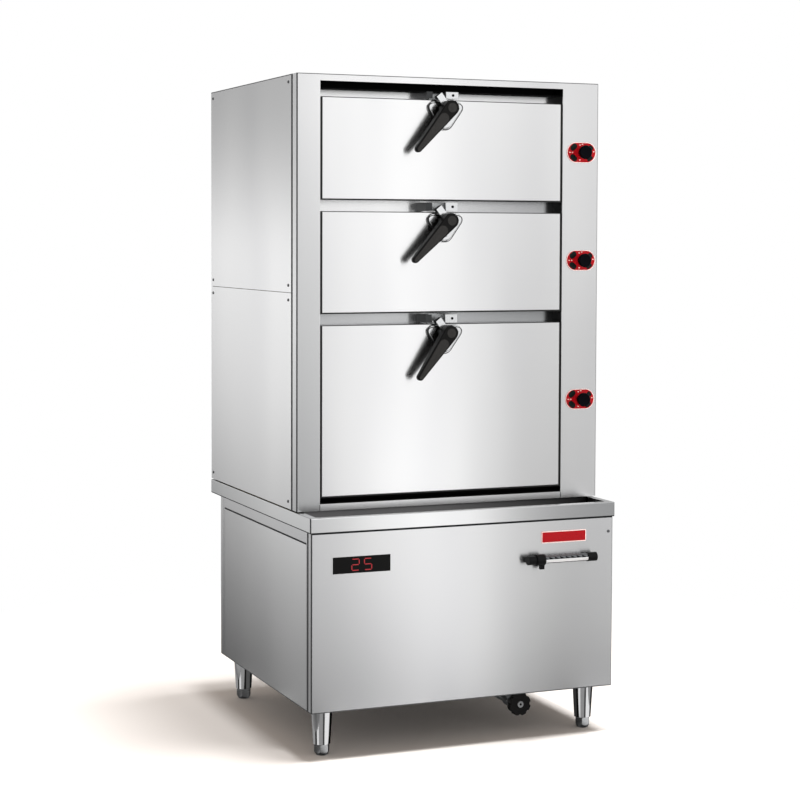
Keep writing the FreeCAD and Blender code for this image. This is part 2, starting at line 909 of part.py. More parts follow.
def chamber_insulation():
    left, right = chamber_left - sheet, chamber_right + sheet
    top = chamber_top["top"] + sheet + insulation
    slabs = [
        box(left - insulation, left, liner_front, chamber_back, chest_z, top),
        box(right, right + insulation, liner_front, chamber_back, chest_z, top),
        box(left - insulation, right + insulation, chamber_back, chamber_back + insulation, chest_z, top),
    ]
    levels = [
        (chest_z, chamber_bottom["bottom"] - sheet),
        (chamber_top["bottom"] + sheet, chamber_bottom["middle"] - sheet),
        (chamber_top["middle"] + sheet, chamber_bottom["top"] - sheet),
        (chamber_top["top"] + sheet, top),
    ]
    front = liner_front + bar_leg
    slabs += [box(left, right, front, chamber_back, z0, z1) for z0, z1 in levels]
    pipes = []
    for name in door_names:
        z = valve_z[name]
        pipes.append(along_x(valve_y, z, right, right + insulation, branch_radius))
    slabs[1] = cut(slabs[1], pipes)
    return group(slabs)


def steam_valve(name):
    """A valve with its bonnet and its pipes to the riser and the chamber, not yet hollow."""
    z = valve_z[name]
    centre = V(valve_x, valve_y, z)
    half_body = V(0, valve_length / 2, 0)
    gland_end = centre - half_body - V(0, bonnet_length, 0)
    return fuse(
        [
            rod(centre - half_body, centre + half_body, valve_radius),
            rod(centre + half_body, V(valve_x, riser_y, z), branch_radius),
            rod(centre, V(chamber_right, valve_y, z), branch_radius),
            rod(gland_end, centre - half_body, bonnet_radius),
        ]
    )


def steam_way(name):
    """The room inside a valve and its two pipes."""
    z = valve_z[name]
    centre = V(valve_x, valve_y, z)
    gland_end = centre - V(0, valve_length / 2 + bonnet_length, 0)
    clear = branch_radius - riser_wall
    return fuse(
        [
            rod(centre, V(valve_x, riser_y, z), clear),
            rod(centre, V(chamber_right, valve_y, z), clear),
            rod(gland_end, centre, valve_spindle_radius + running_gap),
        ]
    )


def steam_riser():
    top = valve_z["top"] + riser_radius
    pipe = along_z(valve_x, riser_y, tank_top, top, riser_radius)
    room = along_z(valve_x, riser_y, tank_top, top - riser_wall, riser_radius - riser_wall)
    ways = fuse([room] + [steam_way(name) for name in door_names])
    valves = [cut(steam_valve(name), [pipe, ways]) for name in door_names]
    return group([cut(pipe, [ways])] + valves)


def valve_knob(name):
    z = valve_z[name]
    back = chest_front - label_thickness - touch_gap
    front = back - knob_height
    skirt_front = back - knob_skirt
    skirt = taper(V(valve_x, back, z), V(valve_x, skirt_front, z), knob_radius, knob_radius - sheet)
    drum_radius = knob_drum_radius
    drum = taper(V(valve_x, skirt_front, z), V(valve_x, front, z), drum_radius, drum_radius - sheet)
    half = knob_grip_width / 2
    reach = knob_radius - sheet - half
    grip = hull([(valve_x - reach, z, half), (valve_x + reach, z, half / 2)], back - front, front)
    spindle_end = V(valve_x, valve_y - valve_length / 2, z)
    spindle = rod(V(valve_x, skirt_front, z), spindle_end, valve_spindle_radius)
    return group([cut(fuse([skirt, drum, grip]), [spindle]), spindle])


# Doors
def hinge_place(name):
    return door_front + hinge_inset, door_bottom[name] + hinge_inset


def frame_bush_spans():
    left, right = open_left - sheet, open_right + sheet
    return [(left - frame_bush_length, left), (right, right + frame_bush_length)]


def hinge_pin_pair(name):
    y, z = hinge_place(name)
    reach = sheet + door_bush_length - pin_head_room
    (left, _), (_, right) = frame_bush_spans()
    return [
        along_x(y, z, left, door_left + reach, hinge_pin_radius),
        along_x(y, z, door_right - reach, right, hinge_pin_radius),
    ]


def hinge_pins():
    return group(pin for name in door_names for pin in hinge_pin_pair(name))


def door_bushes(name, radius):
    y, z = hinge_place(name)
    left, right = door_left + sheet, door_right - sheet
    return [
        along_x(y, z, left, left + door_bush_length, radius),
        along_x(y, z, right - door_bush_length, right, radius),
    ]


def door_skin(name):
    z0, z1 = door_bottom[name], door_top[name]
    skin = tray(door_left, door_right, door_front, door_back, z0, z1, "+y", sheet)
    skin = rounded(
        skin,
        bend,
        dict(x=door_left, y=door_front),
        dict(x=door_right, y=door_front),
        dict(y=door_front, z=z0),
        dict(y=door_front, z=z1),
    )
    y, z = hinge_place(name)
    bore = along_x(y, z, door_left, door_right, hinge_pin_radius + running_gap)
    return cut(fuse([skin] + door_bushes(name, hinge_pin_radius + bush_wall)), [bore])


def door_inner_pan(name):
    z0, z1 = door_bottom[name], door_top[name]
    plate = box(
        door_left + sheet, door_right - sheet, door_back - sheet, door_back, z0 + sheet, z1 - sheet
    )
    edge = pan_field_inset
    field = box(
        door_left + edge,
        door_right - edge,
        door_back - sheet,
        door_back + pan_field_rise,
        z0 + edge,
        z1 - edge,
    )
    hollow = box(
        door_left + edge + sheet,
        door_right - edge - sheet,
        door_back - sheet,
        door_back + pan_field_rise - sheet,
        z0 + edge + sheet,
        z1 - edge - sheet,
    )
    return cut(fuse([plate, field]), [hollow])


def door_core(name):
    z0, z1 = door_bottom[name], door_top[name]
    core = box(
        door_left + sheet,
        door_right - sheet,
        door_front + sheet,
        door_back - sheet,
        z0 + sheet,
        z1 - sheet,
    )
    return cut(core, door_bushes(name, hinge_pin_radius + bush_wall))


def door_seal(name):
    z0, z1 = door_bottom[name], door_top[name]
    back = land_y - touch_gap
    outer, inner = seal_inset, seal_inset + seal_width
    ring = cut(
        box(door_left + outer, door_right - outer, door_back, back, z0 + outer, z1 - outer),
        [box(door_left + inner, door_right - inner, door_back, back, z0 + inner, z1 - inner)],
    )
    width = door_side_gap - 3 * touch_gap
    front = door_front + edge_seal_setback
    strips = cut(
        box(
            door_left - width,
            door_right + width,
            front,
            front + edge_seal_depth,
            z0 - bottom_seal_drop,
            z1 - bend,
        ),
        [box(door_left, door_right, front, front + edge_seal_depth, z0, z1)],
    )
    y, z = hinge_place(name)
    pins = along_x(y, z, open_left, open_right, hinge_pin_radius + touch_gap)
    return group([ring, cut(strips, [pins])])


# Latches
def pivot_z(name):
    return door_top[name] - pivot_drop


def latch_plate(name):
    x, top = door_middle_x, door_top[name] - plate_top_drop
    y = door_front - plate_thickness
    corner, toe = plate_corner, plate_toe
    reach = plate_width / 2 - corner
    plate = hull(
        [
            (x, top - plate_height + toe, toe),
            (x + reach, top - corner, corner),
            (x - reach, top - corner, corner),
        ],
        plate_thickness,
        y,
    )
    rim = [edge for edge in plate.Edges if edge.BoundBox.YMax < y + bend]
    plate = plate.makeFillet(bend, rim)
    z = pivot_z(name)
    hub = along_y(x, z, door_front - hub_height, y + bend, hub_radius)
    bore = along_y(x, z, door_front - hub_height, door_front, spindle_radius + running_gap)
    return cut(fuse([plate, hub]), [bore])


def tongue_back():
    return door_front - hub_height - touch_gap


def latch_tongue(name):
    x, z = door_middle_x, pivot_z(name)
    back = tongue_back()
    front = back - tongue_thickness
    half = tongue_width / 2
    arm = box(x - half, x + half, front, back, z, z + tongue_length)
    boss = along_y(x, z, front - lever_stand, back, half + sheet)
    stub_back = door_front - plate_thickness - tongue_tip_gap
    stub = box(x - half, x + half, front, stub_back, z + tongue_length - half, z + tongue_length)
    tip = turned(fuse([arm, stub]), -tongue_angle, x, z)
    head_end = front - lever_stand - lever_thickness / 2
    spindle = along_y(x, z, head_end, door_front - 2 * sheet, spindle_radius)
    return fuse([tip, boss, spindle])


def latch_lever(name):
    x, z = door_middle_x, pivot_z(name)
    back = tongue_back() - tongue_thickness - lever_stand
    front = back - lever_thickness
    big, small, length = lever_head_radius, lever_tip_radius, lever_length
    lever = hull([(x, z - length, small), (x, z, big)], lever_thickness, front)
    rise = (lever_thickness - lever_tip_thickness) / 2
    reach = length + 2 * small
    top, toe = z - big, z - reach
    wedges = []
    for y, step in ((back, -rise), (front, rise)):
        corners = [V(x - big, y, top), V(x - big, y + step, toe), V(x - big, y, toe)]
        face = Part.Face(Part.makePolygon(corners + corners[:1]))
        wedges.append(face.extrude(V(2 * big, 0, 0)))
    lever = cut(lever, wedges)
    outer = [edge for edge in lever.Edges if edge.BoundBox.YMax < front + rise + touch_gap]
    lever = lever.makeFillet(lever_edge, outer)
    head_end = back - lever_thickness / 2
    socket = along_y(x, z, head_end, back, spindle_radius)
    return turned(cut(lever, [socket]), lever_angles[name], x, z)


def latch_strikes():
    def keeper(name):
        x = door_middle_x
        z0 = door_top[name] + keeper_lift
        z1 = above[name] if name == "top" else above[name] - keeper_drop
        front = door_front - plate_thickness
        base = box(x - keeper_left, x + keeper_right, land_y - keeper_base, land_y, z0, z1)
        ramp = box(x - keeper_left, x - keeper_left + keeper_ramp_width, front, land_y, z0, z1)
        block = box(
            x - keeper_block_left, x + keeper_right, door_front - keeper_block_reach, land_y, z0, z1
        )
        block = rounded(
            block,
            bend,
            dict(x=x - keeper_block_left, y=door_front - keeper_block_reach),
            dict(x=x + keeper_right, y=door_front - keeper_block_reach),
        )
        return fuse([base, ramp, block])

    return group(keeper(name) for name in door_names)


# Inside the base
def drain_pipe(radius):
    """The pipe from the tank down to the drain valve, as a solid of the given radius."""
    valve = V(drain_x, drain_y, drain_height)
    elbow = V(elbow_x, drain_y, elbow_z)
    tank = V(elbow_x, drain_y, tank_floor)
    return fuse([rod(valve, elbow, radius), Part.makeSphere(radius, elbow), rod(elbow, tank, radius)])


def water_tank():
    x0, x1 = tank_left, tank_right
    y0, y1 = tank_front, tank_back
    w = tank_wall
    valve_front = drain_y - drain_valve_length / 2
    valve_back = drain_y + drain_valve_length / 2
    outlet = base_back + drain_outlet_reach
    thread = outlet - drain_thread_length
    outer = [
        box(x0, x1, y0, y1, tank_floor, tank_top),
        drain_pipe(drain_radius),
        along_y(drain_x, drain_height, valve_front, valve_back, drain_valve_radius),
        along_y(drain_x, drain_height, drain_y, outlet, drain_radius),
        along_y(drain_x, drain_height, thread, outlet, drain_thread_radius),
    ]
    for x in (x0 + tank_leg, x1 - 2 * tank_leg):
        for y in (y0, y1 - tank_leg):
            outer.append(box(x, x + w, y, y + tank_leg, base_floor, tank_floor))
            outer.append(box(x, x + tank_leg, y, y + w, base_floor, tank_floor))
    bore = drain_radius - drain_wall
    inner = [
        box(x0 + w, x1 - w, y0 + w, y1 - w, tank_floor + w, tank_top - w),
        drain_pipe(bore),
        along_y(drain_x, drain_height, drain_y, outlet, bore),
        along_y(drain_x, drain_height, valve_front, drain_y, drain_stem_radius + running_gap),
        along_z(valve_x, riser_y, tank_top - w, tank_top, riser_radius - riser_wall),
        along_z(elbow_x, drain_y, tank_floor, tank_floor + w, bore),
    ]
    return cut(fuse(outer), inner)


def drain_hand_wheel():
    front = chest_front + wheel_depth
    back = front + wheel_thickness
    centre = V(drain_x, front, drain_height)
    disc = rod(centre, centre + V(0, wheel_thickness, 0), wheel_radius)
    notches = []
    for step in range(wheel_lobes):
        turn = 2 * math.pi * step / wheel_lobes
        reach = wheel_radius + wheel_notch_radius - wheel_notch_depth
        place = centre + V(reach * math.cos(turn), 0, reach * math.sin(turn))
        notches.append(rod(place, place + V(0, wheel_thickness, 0), wheel_notch_radius))
    nut = rod(centre - V(0, wheel_nut_rise, 0), centre, wheel_nut_radius)
    stem_end = drain_y - drain_valve_length / 4
    stem = along_y(drain_x, drain_height, back, stem_end, drain_stem_radius)
    return fuse([cut(disc, notches), nut, stem])


def induction_coil():
    x = (tank_left + tank_right) / 2
    y = (tank_front + tank_back) / 2
    top = tank_floor - coil_gap
    low = top - coil_thickness
    disc = along_z(x, y, low, top, coil_radius)
    disc = cut(disc, [along_z(x, y, low, top, coil_bore)])
    pieces = [disc]
    for step in range(coil_bars):
        bar = box(
            x + coil_bore,
            x + coil_radius,
            y - coil_bar_width / 2,
            y + coil_bar_width / 2,
            low - coil_bar_thickness,
            low,
        )
        bar.rotate(V(x, y, 0), V(0, 0, 1), 360 * step / coil_bars)
        pieces.append(bar)
        turn = 2 * math.pi * step / coil_bars
        reach = coil_radius - 2 * coil_post_radius
        place = V(x + reach * math.cos(turn), y + reach * math.sin(turn), base_floor)
        pieces.append(rod(place, V(place.x, place.y, low - coil_bar_thickness), coil_post_radius))
    return fuse(pieces)


def power_module():
    x0, x1 = module_left, module_right
    y0, y1 = module_back - module_depth, module_back
    z0 = base_floor + module_foot
    z1 = z0 + module_height
    w = module_wall
    case = cut(box(x0, x1, y0, y1, z0, z1), [box(x0 + w, x1 - w, y0 + w, y1 - w, z0 + w, z1 - w)])
    mouth = along_y(fan_x, fan_z, y1 - w, y1, fan_radius + fan_tip_gap)
    half = louvre_width / 2
    vents = [
        box(fan_x - half, fan_x + half, y0, y0 + w, z, z + louvre_height)
        for z in (fan_z - 2 * louvre_pitch, fan_z, fan_z + 2 * louvre_pitch)
    ]
    motor_back = fan_y - fan_hub_length - touch_gap
    motor_front = motor_back - motor_length
    motor = along_y(fan_x, fan_z, motor_front, motor_back, motor_radius)
    bar = box(x0 + w, x1 - w, motor_front, motor_front + w, fan_z - motor_bar, fan_z + motor_bar)
    bore = along_y(fan_x, fan_z, motor_front + w, motor_back, fan_shaft_radius + running_gap)
    foot_size = 2 * module_foot
    feet = []
    for x in (x0, x1 - foot_size):
        for y in (y0, y1 - foot_size):
            feet.append(box(x, x + foot_size, y, y + foot_size, base_floor, z0))
    return group([cut(fuse([case, motor, bar] + feet), [mouth, bore] + vents), cable_gland()])


def cable_gland():
    nut_front = base_back - sheet - gland_flange
    end = base_back + gland_reach
    flange = along_y(gland_x, gland_z, base_back, base_back + gland_flange, gland_flange_radius)
    barrel = along_y(gland_x, gland_z, base_back - sheet, end, gland_radius)
    nut = along_y(gland_x, gland_z, nut_front, base_back - sheet, gland_flange_radius)
    return cut(fuse([flange, barrel, nut]), [along_y(gland_x, gland_z, nut_front, end, gland_bore)])


def fan_rotor():
    front = fan_y - fan_hub_length
    hub = along_y(fan_x, fan_z, front, fan_y, fan_hub_radius)
    shaft = along_y(fan_x, fan_z, front - motor_length / 2, front, fan_shaft_radius)
    half = fan_blade_thickness / 2
    blades = []
    for step in range(fan_blades):
        low, high = fan_z + fan_hub_radius / 2, fan_z + fan_radius
        blade = box(fan_x - half, fan_x + half, front, fan_y, low, high)
        blade.rotate(V(fan_x, (front + fan_y) / 2, fan_z), V(0, 0, 1), fan_blade_pitch)
        blade.rotate(V(fan_x, fan_y, fan_z), V(0, 1, 0), 360 * step / fan_blades)
        blades.append(blade)
    return fuse([hub, shaft] + blades)


def feed_water_box():
    base = feed_top - feed_height
    shell = tray(feed_left, feed_right, feed_front, feed_back, base, feed_top, "+z", feed_wall)
    start, collar_end = feed_back - feed_wall, base_back + inlet_collar
    end = collar_end + inlet_thread_length
    pipe = [
        along_y(inlet_x, inlet_z, start, collar_end, inlet_radius),
        along_y(inlet_x, inlet_z, collar_end, end, inlet_thread_radius),
    ]
    half, r = float_pin_length / 2, float_bush_radius
    lugs = [
        box(x, x + feed_wall, float_y - r, feed_back - feed_wall, float_z - r, float_z + r)
        for x in (inlet_x - half, inlet_x + half - feed_wall)
    ]
    pin = along_x(float_y, float_z, inlet_x - half, inlet_x + half, float_pin_radius)
    legs = []
    for x in (feed_left, feed_right - tank_leg):
        legs.append(box(x, x + tank_leg, feed_back - feed_wall, feed_back, base_floor + tube_size, base))
        legs.append(box(x, x + tank_leg, feed_front, feed_front + feed_wall, base_floor, base))
    whole = fuse([shell, pin] + pipe + lugs + legs)
    return cut(whole, [along_y(inlet_x, inlet_z, start, end, inlet_bore)])


def float_arm():
    pivot = V(inlet_x, float_y, float_z)
    end = pivot - V(0, float_arm_length, 0)
    half = float_bush_length / 2
    bush = along_x(float_y, float_z, inlet_x - half, inlet_x + half, float_bush_radius)
    whole = fuse([bush, rod(pivot, end, float_arm_radius), Part.makeSphere(float_radius, end)])
    whole.rotate(pivot, V(1, 0, 0), float_fall)
    bore_radius = float_pin_radius + running_gap
    return cut(whole, [along_x(float_y, float_z, inlet_x - half, inlet_x + half, bore_radius)])


# Fasteners
def screws():
    heads = []

    def head(place, direction):
        heads.append(rod(place, place + direction * screw_rise, screw_radius))

    front = chest_front + frame_return + seam
    for side in (-1, 1):
        out = V(side, 0, 0)
        for z0, z1 in ((chest_z, seam_z), (seam_z, chest_top)):
            for z in (z0 + screw_inset, z1 - screw_inset):
                head(V(side * chest_x, front + screw_front_inset, z), out)
                head(V(side * chest_x, chest_back - screw_inset, z), out)
    head(V(base_x - front_screw_inset, base_front, rim_z - front_screw_drop), V(0, -1, 0))
    back = V(0, 1, 0)
    for x in (screw_inset - chest_inner_x, 0, chest_inner_x - screw_inset):
        for z in (chest_z + screw_inset, chest_top - 2 * screw_inset):
            head(V(x, chest_back, z), back)
        for z in (base_z + screw_inset, rim_z - 2 * screw_inset):
            head(V(x * base_x / chest_x, base_back, z), back)
    return group(heads)


def parts():
    yield "base_frame", base_frame()
    yield "base_front_panel", base_front_panel()
    yield "base_side_panels", base_side_panels()
    yield "back_panels", back_panels()
    yield "worktop", worktop()
    yield "front_frame", front_frame()
    yield "chest_side_panels", chest_side_panels()
    yield "chest_top_panel", chest_top_panel()
    yield "slot_liners", slot_liners()
    yield "chamber_insulation", chamber_insulation()
    yield "crossbars", crossbars()
    yield "racks", racks()
    yield "steam_riser", steam_riser()
    yield "hinge_pins", hinge_pins()
    yield "latch_strikes", latch_strikes()
    yield "front_labels", front_labels()
    for name in door_names:
        yield name + "_chamber_liner", liner(name)
        yield name + "_door_skin", door_skin(name)
        yield name + "_door_inner_pan", door_inner_pan(name)
        yield name + "_door_core", door_core(name)
        yield name + "_door_seal", door_seal(name)
        yield name + "_latch_plate", latch_plate(name)
        yield name + "_latch_tongue", latch_tongue(name)
        yield name + "_latch_lever", latch_lever(name)
        yield name + "_valve_knob", valve_knob(name)
    yield "water_tank", water_tank()
    yield "drain_hand_wheel", drain_hand_wheel()
    yield "induction_coil", induction_coil()
    yield "power_module", power_module()
    yield "fan_rotor", fan_rotor()
    yield "feed_water_box", feed_water_box()
    yield "float_arm", float_arm()
    yield "display_window", display_window()
    yield "power_rail", power_rail()
    yield "rail_brackets", rail_brackets()
    yield "power_slider", power_slider()
    yield "leg_tubes", leg_tubes()
    yield "screws", screws()
    for place_name, place in leg_places().items():
        yield place_name + "_foot", foot(place)


os.makedirs("parts", exist_ok=True)
for node, shape in parts():
    if not shape.isValid():
        print("not valid:", node)
    shape.exportStep("parts/" + node + ".step")
    print(node, len(shape.Solids), round(shape.Volume / 1000.0, 1))
print("front of chest y", chest_front, "chest top z", chest_top)
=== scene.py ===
import json
import math

import bmesh
import bpy
from mathutils import Matrix, Vector


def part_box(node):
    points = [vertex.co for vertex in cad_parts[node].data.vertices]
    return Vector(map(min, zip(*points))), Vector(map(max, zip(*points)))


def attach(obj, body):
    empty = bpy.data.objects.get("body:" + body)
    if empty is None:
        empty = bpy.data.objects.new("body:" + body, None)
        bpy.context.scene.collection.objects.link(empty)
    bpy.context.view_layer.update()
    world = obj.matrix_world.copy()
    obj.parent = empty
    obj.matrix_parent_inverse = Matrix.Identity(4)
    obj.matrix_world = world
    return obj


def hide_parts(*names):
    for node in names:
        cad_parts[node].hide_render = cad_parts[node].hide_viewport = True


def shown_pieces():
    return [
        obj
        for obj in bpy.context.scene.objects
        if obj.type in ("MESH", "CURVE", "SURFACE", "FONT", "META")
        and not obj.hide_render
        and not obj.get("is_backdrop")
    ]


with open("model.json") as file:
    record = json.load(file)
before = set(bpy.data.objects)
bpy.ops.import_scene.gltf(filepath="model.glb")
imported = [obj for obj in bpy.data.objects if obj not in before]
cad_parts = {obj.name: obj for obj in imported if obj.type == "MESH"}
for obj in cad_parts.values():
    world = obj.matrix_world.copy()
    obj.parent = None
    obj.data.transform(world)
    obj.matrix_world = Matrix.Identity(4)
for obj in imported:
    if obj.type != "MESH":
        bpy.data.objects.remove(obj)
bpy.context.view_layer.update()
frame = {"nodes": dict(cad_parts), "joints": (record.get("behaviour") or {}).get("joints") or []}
nodes = frame["nodes"]
joints = {joint["name"]: joint for joint in frame["joints"]}

doors = ("top", "middle", "bottom")
feet = ("front_left", "front_right", "back_left", "back_right")
mm = 0.001


# Colours and shader nodes
def srgb(code):
    """Turns a six-digit sRGB hex colour into the linear colour that a socket takes."""
    channels = [int(code[i : i + 2], 16) / 255 for i in (0, 2, 4)]
    linear = [c / 12.92 if c <= 0.04045 else ((c + 0.055) / 1.055) ** 2.4 for c in channels]
    return (*linear, 1.0)


def add(tree, kind, sockets=None, **settings):
    """Adds one node. A socket given another node's output is linked, any other value is set."""
    made = tree.nodes.new(kind)
    for name, value in settings.items():
        setattr(made, name, value)
    for name, value in (sockets or {}).items():
        if isinstance(value, bpy.types.NodeSocket):
            tree.links.new(value, made.inputs[name])
        else:
            made.inputs[name].default_value = value
    return made


def new_material(name, **sockets):
    """A material with one Principled shader; colours are hex codes."""
    made = bpy.data.materials.new(name)
    made.use_nodes = True
    shader = made.node_tree.nodes["Principled BSDF"]
    for socket, value in sockets.items():
        value = srgb(value) if isinstance(value, str) else value
        shader.inputs[socket.replace("_", " ")].default_value = value
    return made, made.node_tree, shader


def position(tree):
    """The object's own coordinates in metres, which are the cabinet's coordinates at rest."""
    return add(tree, "ShaderNodeTexCoord").outputs["Object"]


def coordinate(tree, axis):
    """One of the object's own coordinates in metres."""
    return add(tree, "ShaderNodeSeparateXYZ", {"Vector": position(tree)}).outputs[axis]


def faces_along(tree, axis):
    """How far the surface faces along one of the object's axes, from -1 to 1."""
    normal = add(tree, "ShaderNodeTexCoord").outputs["Normal"]
    return add(tree, "ShaderNodeSeparateXYZ", {"Vector": normal}).outputs[axis]


def beyond(tree, value, edge, softness=0.3 * mm):
    """A mask that is 1 where the value is over the edge and 0 below it."""
    sockets = {"Value": value, "From Min": edge - softness, "From Max": edge + softness}
    return add(tree, "ShaderNodeMapRange", sockets).outputs[0]


def near(tree, axis, place, reach):
    """A mask that is 1 within the reach of a plane square to the axis."""
    sockets = {0: coordinate(tree, axis), 1: place, 2: reach}
    return add(tree, "ShaderNodeMath", sockets, operation="COMPARE").outputs[0]


def both_masks(tree, one, other):
    """What both masks pick out. Either may also be a level that the other scales."""
    return add(tree, "ShaderNodeMath", {0: one, 1: other}, operation="MULTIPLY").outputs[0]


def opposite(tree, mask):
    """What a mask leaves out."""
    return add(tree, "ShaderNodeMath", {0: 1.0, 1: mask}, operation="SUBTRACT").outputs[0]


def around(tree, axis_place, across):
    """Distance in metres from an axis through axis_place, measured in the directions across."""
    keep = tuple(1.0 if axis in across else 0.0 for axis in "XYZ")
    shifted = add(tree, "ShaderNodeVectorMath", {0: position(tree), 1: axis_place}, operation="SUBTRACT")
    flat = add(tree, "ShaderNodeVectorMath", {0: shifted.outputs[0], 1: keep}, operation="MULTIPLY")
    return add(tree, "ShaderNodeVectorMath", {0: flat.outputs[0]}, operation="LENGTH").outputs["Value"]


def brushed_stainless(name, light, dark, grain, roughness=0.21, pull=0.75, streak_depth=0.012):
    """304 stainless sheet, ground to a fine one-way grain, which draws every highlight out
    across the grain, and polished unevenly, which leaves broad soft clouds. A 240 grit line is
    0.06 mm wide and doesn't show from here, so the streaks are drawn 1.5 mm wide."""
    made, tree, shader = new_material(name, Metallic=1.0, Anisotropic=pull)
    across, along = 1 / (1.5 * mm), 1 / (600 * mm)
    repeats = [along if axis == grain else across for axis in "XYZ"]
    fine = add(tree, "ShaderNodeMapping", {"Vector": position(tree), "Scale": repeats}).outputs[0]
    streaks = add(tree, "ShaderNodeTexNoise", {"Vector": fine, "Scale": 1.0, "Detail": 2.0}).outputs[0]
    repeats = (5.0, 3.0, 1.2)
    broad = add(tree, "ShaderNodeMapping", {"Vector": position(tree), "Scale": repeats}).outputs[0]
    clouds = add(tree, "ShaderNodeTexNoise", {"Vector": broad, "Scale": 1.0, "Detail": 1.0}).outputs[0]
    faint = add(tree, "ShaderNodeMath", {0: streaks, 1: 0.12}, operation="MULTIPLY").outputs[0]
    both = add(tree, "ShaderNodeMath", {0: faint, 1: clouds}, operation="ADD").outputs[0]
    tone = add(tree, "ShaderNodeMapRange", {"Value": both, "From Min": 0.3, "From Max": 0.8}).outputs[0]
    colour = add(tree, "ShaderNodeMix", {0: tone, 6: srgb(dark), 7: srgb(light)}, data_type="RGBA")
    tree.links.new(colour.outputs[2], shader.inputs["Base Color"])
    low, high = roughness * 0.93, roughness * 1.07
    rough = add(tree, "ShaderNodeMapRange", {"Value": streaks, "To Min": low, "To Max": high})
    tree.links.new(rough.outputs[0], shader.inputs["Roughness"])
    sockets = {"Strength": streak_depth, "Distance": 0.1 * mm, "Height": streaks}
    bump = add(tree, "ShaderNodeBump", sockets)
    tree.links.new(bump.outputs[0], shader.inputs["Normal"])
    line = add(tree, "ShaderNodeCombineXYZ", {"XYZ".index(grain): 1.0}).outputs[0]
    turned = add(tree, "ShaderNodeVectorTransform", {0: line}, convert_from="OBJECT", convert_to="WORLD")
    normal = add(tree, "ShaderNodeNewGeometry").outputs["Normal"]
    sockets = {0: normal, 1: turned.outputs[0]}
    sideways = add(tree, "ShaderNodeVectorMath", sockets, operation="CROSS_PRODUCT").outputs[0]
    sockets = {0: sideways, 1: (0.01, 0.02, 0.03)}
    never_zero = add(tree, "ShaderNodeVectorMath", sockets, operation="ADD")
    tree.links.new(never_zero.outputs[0], shader.inputs["Tangent"])
    return made


def fine_grit(name, colour, roughness, grit=1.2, shine=0.15):
    """Phenolic or nylon from a spark-eroded mould, or an etched, anodised or printed plate: a
    fine dull grit, 1.2 mm coarse or more here so that it shows, and a slight sheen."""
    made, tree, shader = new_material(name, IOR=1.5, Specular_IOR_Level=shine)
    sockets = {"Vector": position(tree), "Scale": 1 / (grit * mm), "Detail": 2.0}
    grain = add(tree, "ShaderNodeTexNoise", sockets).outputs[0]
    sockets = {"Value": grain, "From Min": 0.3, "From Max": 0.7, "To Min": 0.75, "To Max": 1.25}
    tone = add(tree, "ShaderNodeMapRange", sockets).outputs[0]
    mottled = add(tree, "ShaderNodeHueSaturation", {"Value": tone, "Color": srgb(colour)})
    tree.links.new(mottled.outputs[0], shader.inputs["Base Color"])
    low, high = roughness * 0.85, roughness * 1.15
    rough = add(tree, "ShaderNodeMapRange", {"Value": grain, "To Min": low, "To Max": high})
    tree.links.new(rough.outputs[0], shader.inputs["Roughness"])
    bump = add(tree, "ShaderNodeBump", {"Strength": 0.25, "Distance": 0.2 * mm, "Height": grain})
    tree.links.new(bump.outputs[0], shader.inputs["Normal"])
    return made


def spun_steel(name, colour, roughness):
    """Turned and polished tube or rod: nearly a mirror, with faint lathe rings."""
    made, tree, shader = new_material(name, Metallic=1.0)
    repeats = (20.0, 20.0, 700.0)
    placed = add(tree, "ShaderNodeMapping", {"Vector": position(tree), "Scale": repeats}).outputs[0]
    rings = add(tree, "ShaderNodeTexNoise", {"Vector": placed, "Scale": 1.0, "Detail": 2.0}).outputs[0]
    tone = add(tree, "ShaderNodeMapRange", {"Value": rings, "To Min": 0.93, "To Max": 1.05}).outputs[0]
    banded = add(tree, "ShaderNodeHueSaturation", {"Value": tone, "Color": srgb(colour)})
    tree.links.new(banded.outputs[0], shader.inputs["Base Color"])
    low, high = roughness * 0.7, roughness * 1.3
    rough = add(tree, "ShaderNodeMapRange", {"Value": rings, "To Min": low, "To Max": high})
    tree.links.new(rough.outputs[0], shader.inputs["Roughness"])
    return made


def soft_slab(name, light, dark, size, roughness=0.82):
    """Mineral wool or silicone: dull, with colour that varies over a few millimetres."""
    made, tree, shader = new_material(name, IOR=1.45)
    sockets = {"Vector": position(tree), "Scale": 1 / (size * mm), "Detail": 4.0}
    fibre = add(tree, "ShaderNodeTexNoise", sockets).outputs[0]
    colour = add(tree, "ShaderNodeMix", {0: fibre, 6: srgb(dark), 7: srgb(light)}, data_type="RGBA")
    tree.links.new(colour.outputs[2], shader.inputs["Base Color"])
    low, high = roughness - 0.08, roughness + 0.08
    rough = add(tree, "ShaderNodeMapRange", {"Value": fibre, "To Min": low, "To Max": high})
    tree.links.new(rough.outputs[0], shader.inputs["Roughness"])
    bump = add(tree, "ShaderNodeBump", {"Strength": 0.3, "Distance": 0.4 * mm, "Height": fibre})
    tree.links.new(bump.outputs[0], shader.inputs["Normal"])
    return made


def lit_digits():
    """Red light-emitting digits behind the smoked window, dim and a little uneven."""
    made, tree, shader = new_material("lit_red_segments", Roughness=0.4, Emission_Strength=0.35)
    sockets = {"Vector": position(tree), "Scale": 400.0, "Detail": 1.0}
    uneven = add(tree, "ShaderNodeTexNoise", sockets).outputs[0]
    sockets = {0: uneven, 6: srgb("7c151c"), 7: srgb("b3262f")}
    colour = add(tree, "ShaderNodeMix", sockets, data_type="RGBA").outputs[2]
    tree.links.new(colour, shader.inputs["Base Color"])
    tree.links.new(colour, shader.inputs["Emission Color"])
    return made


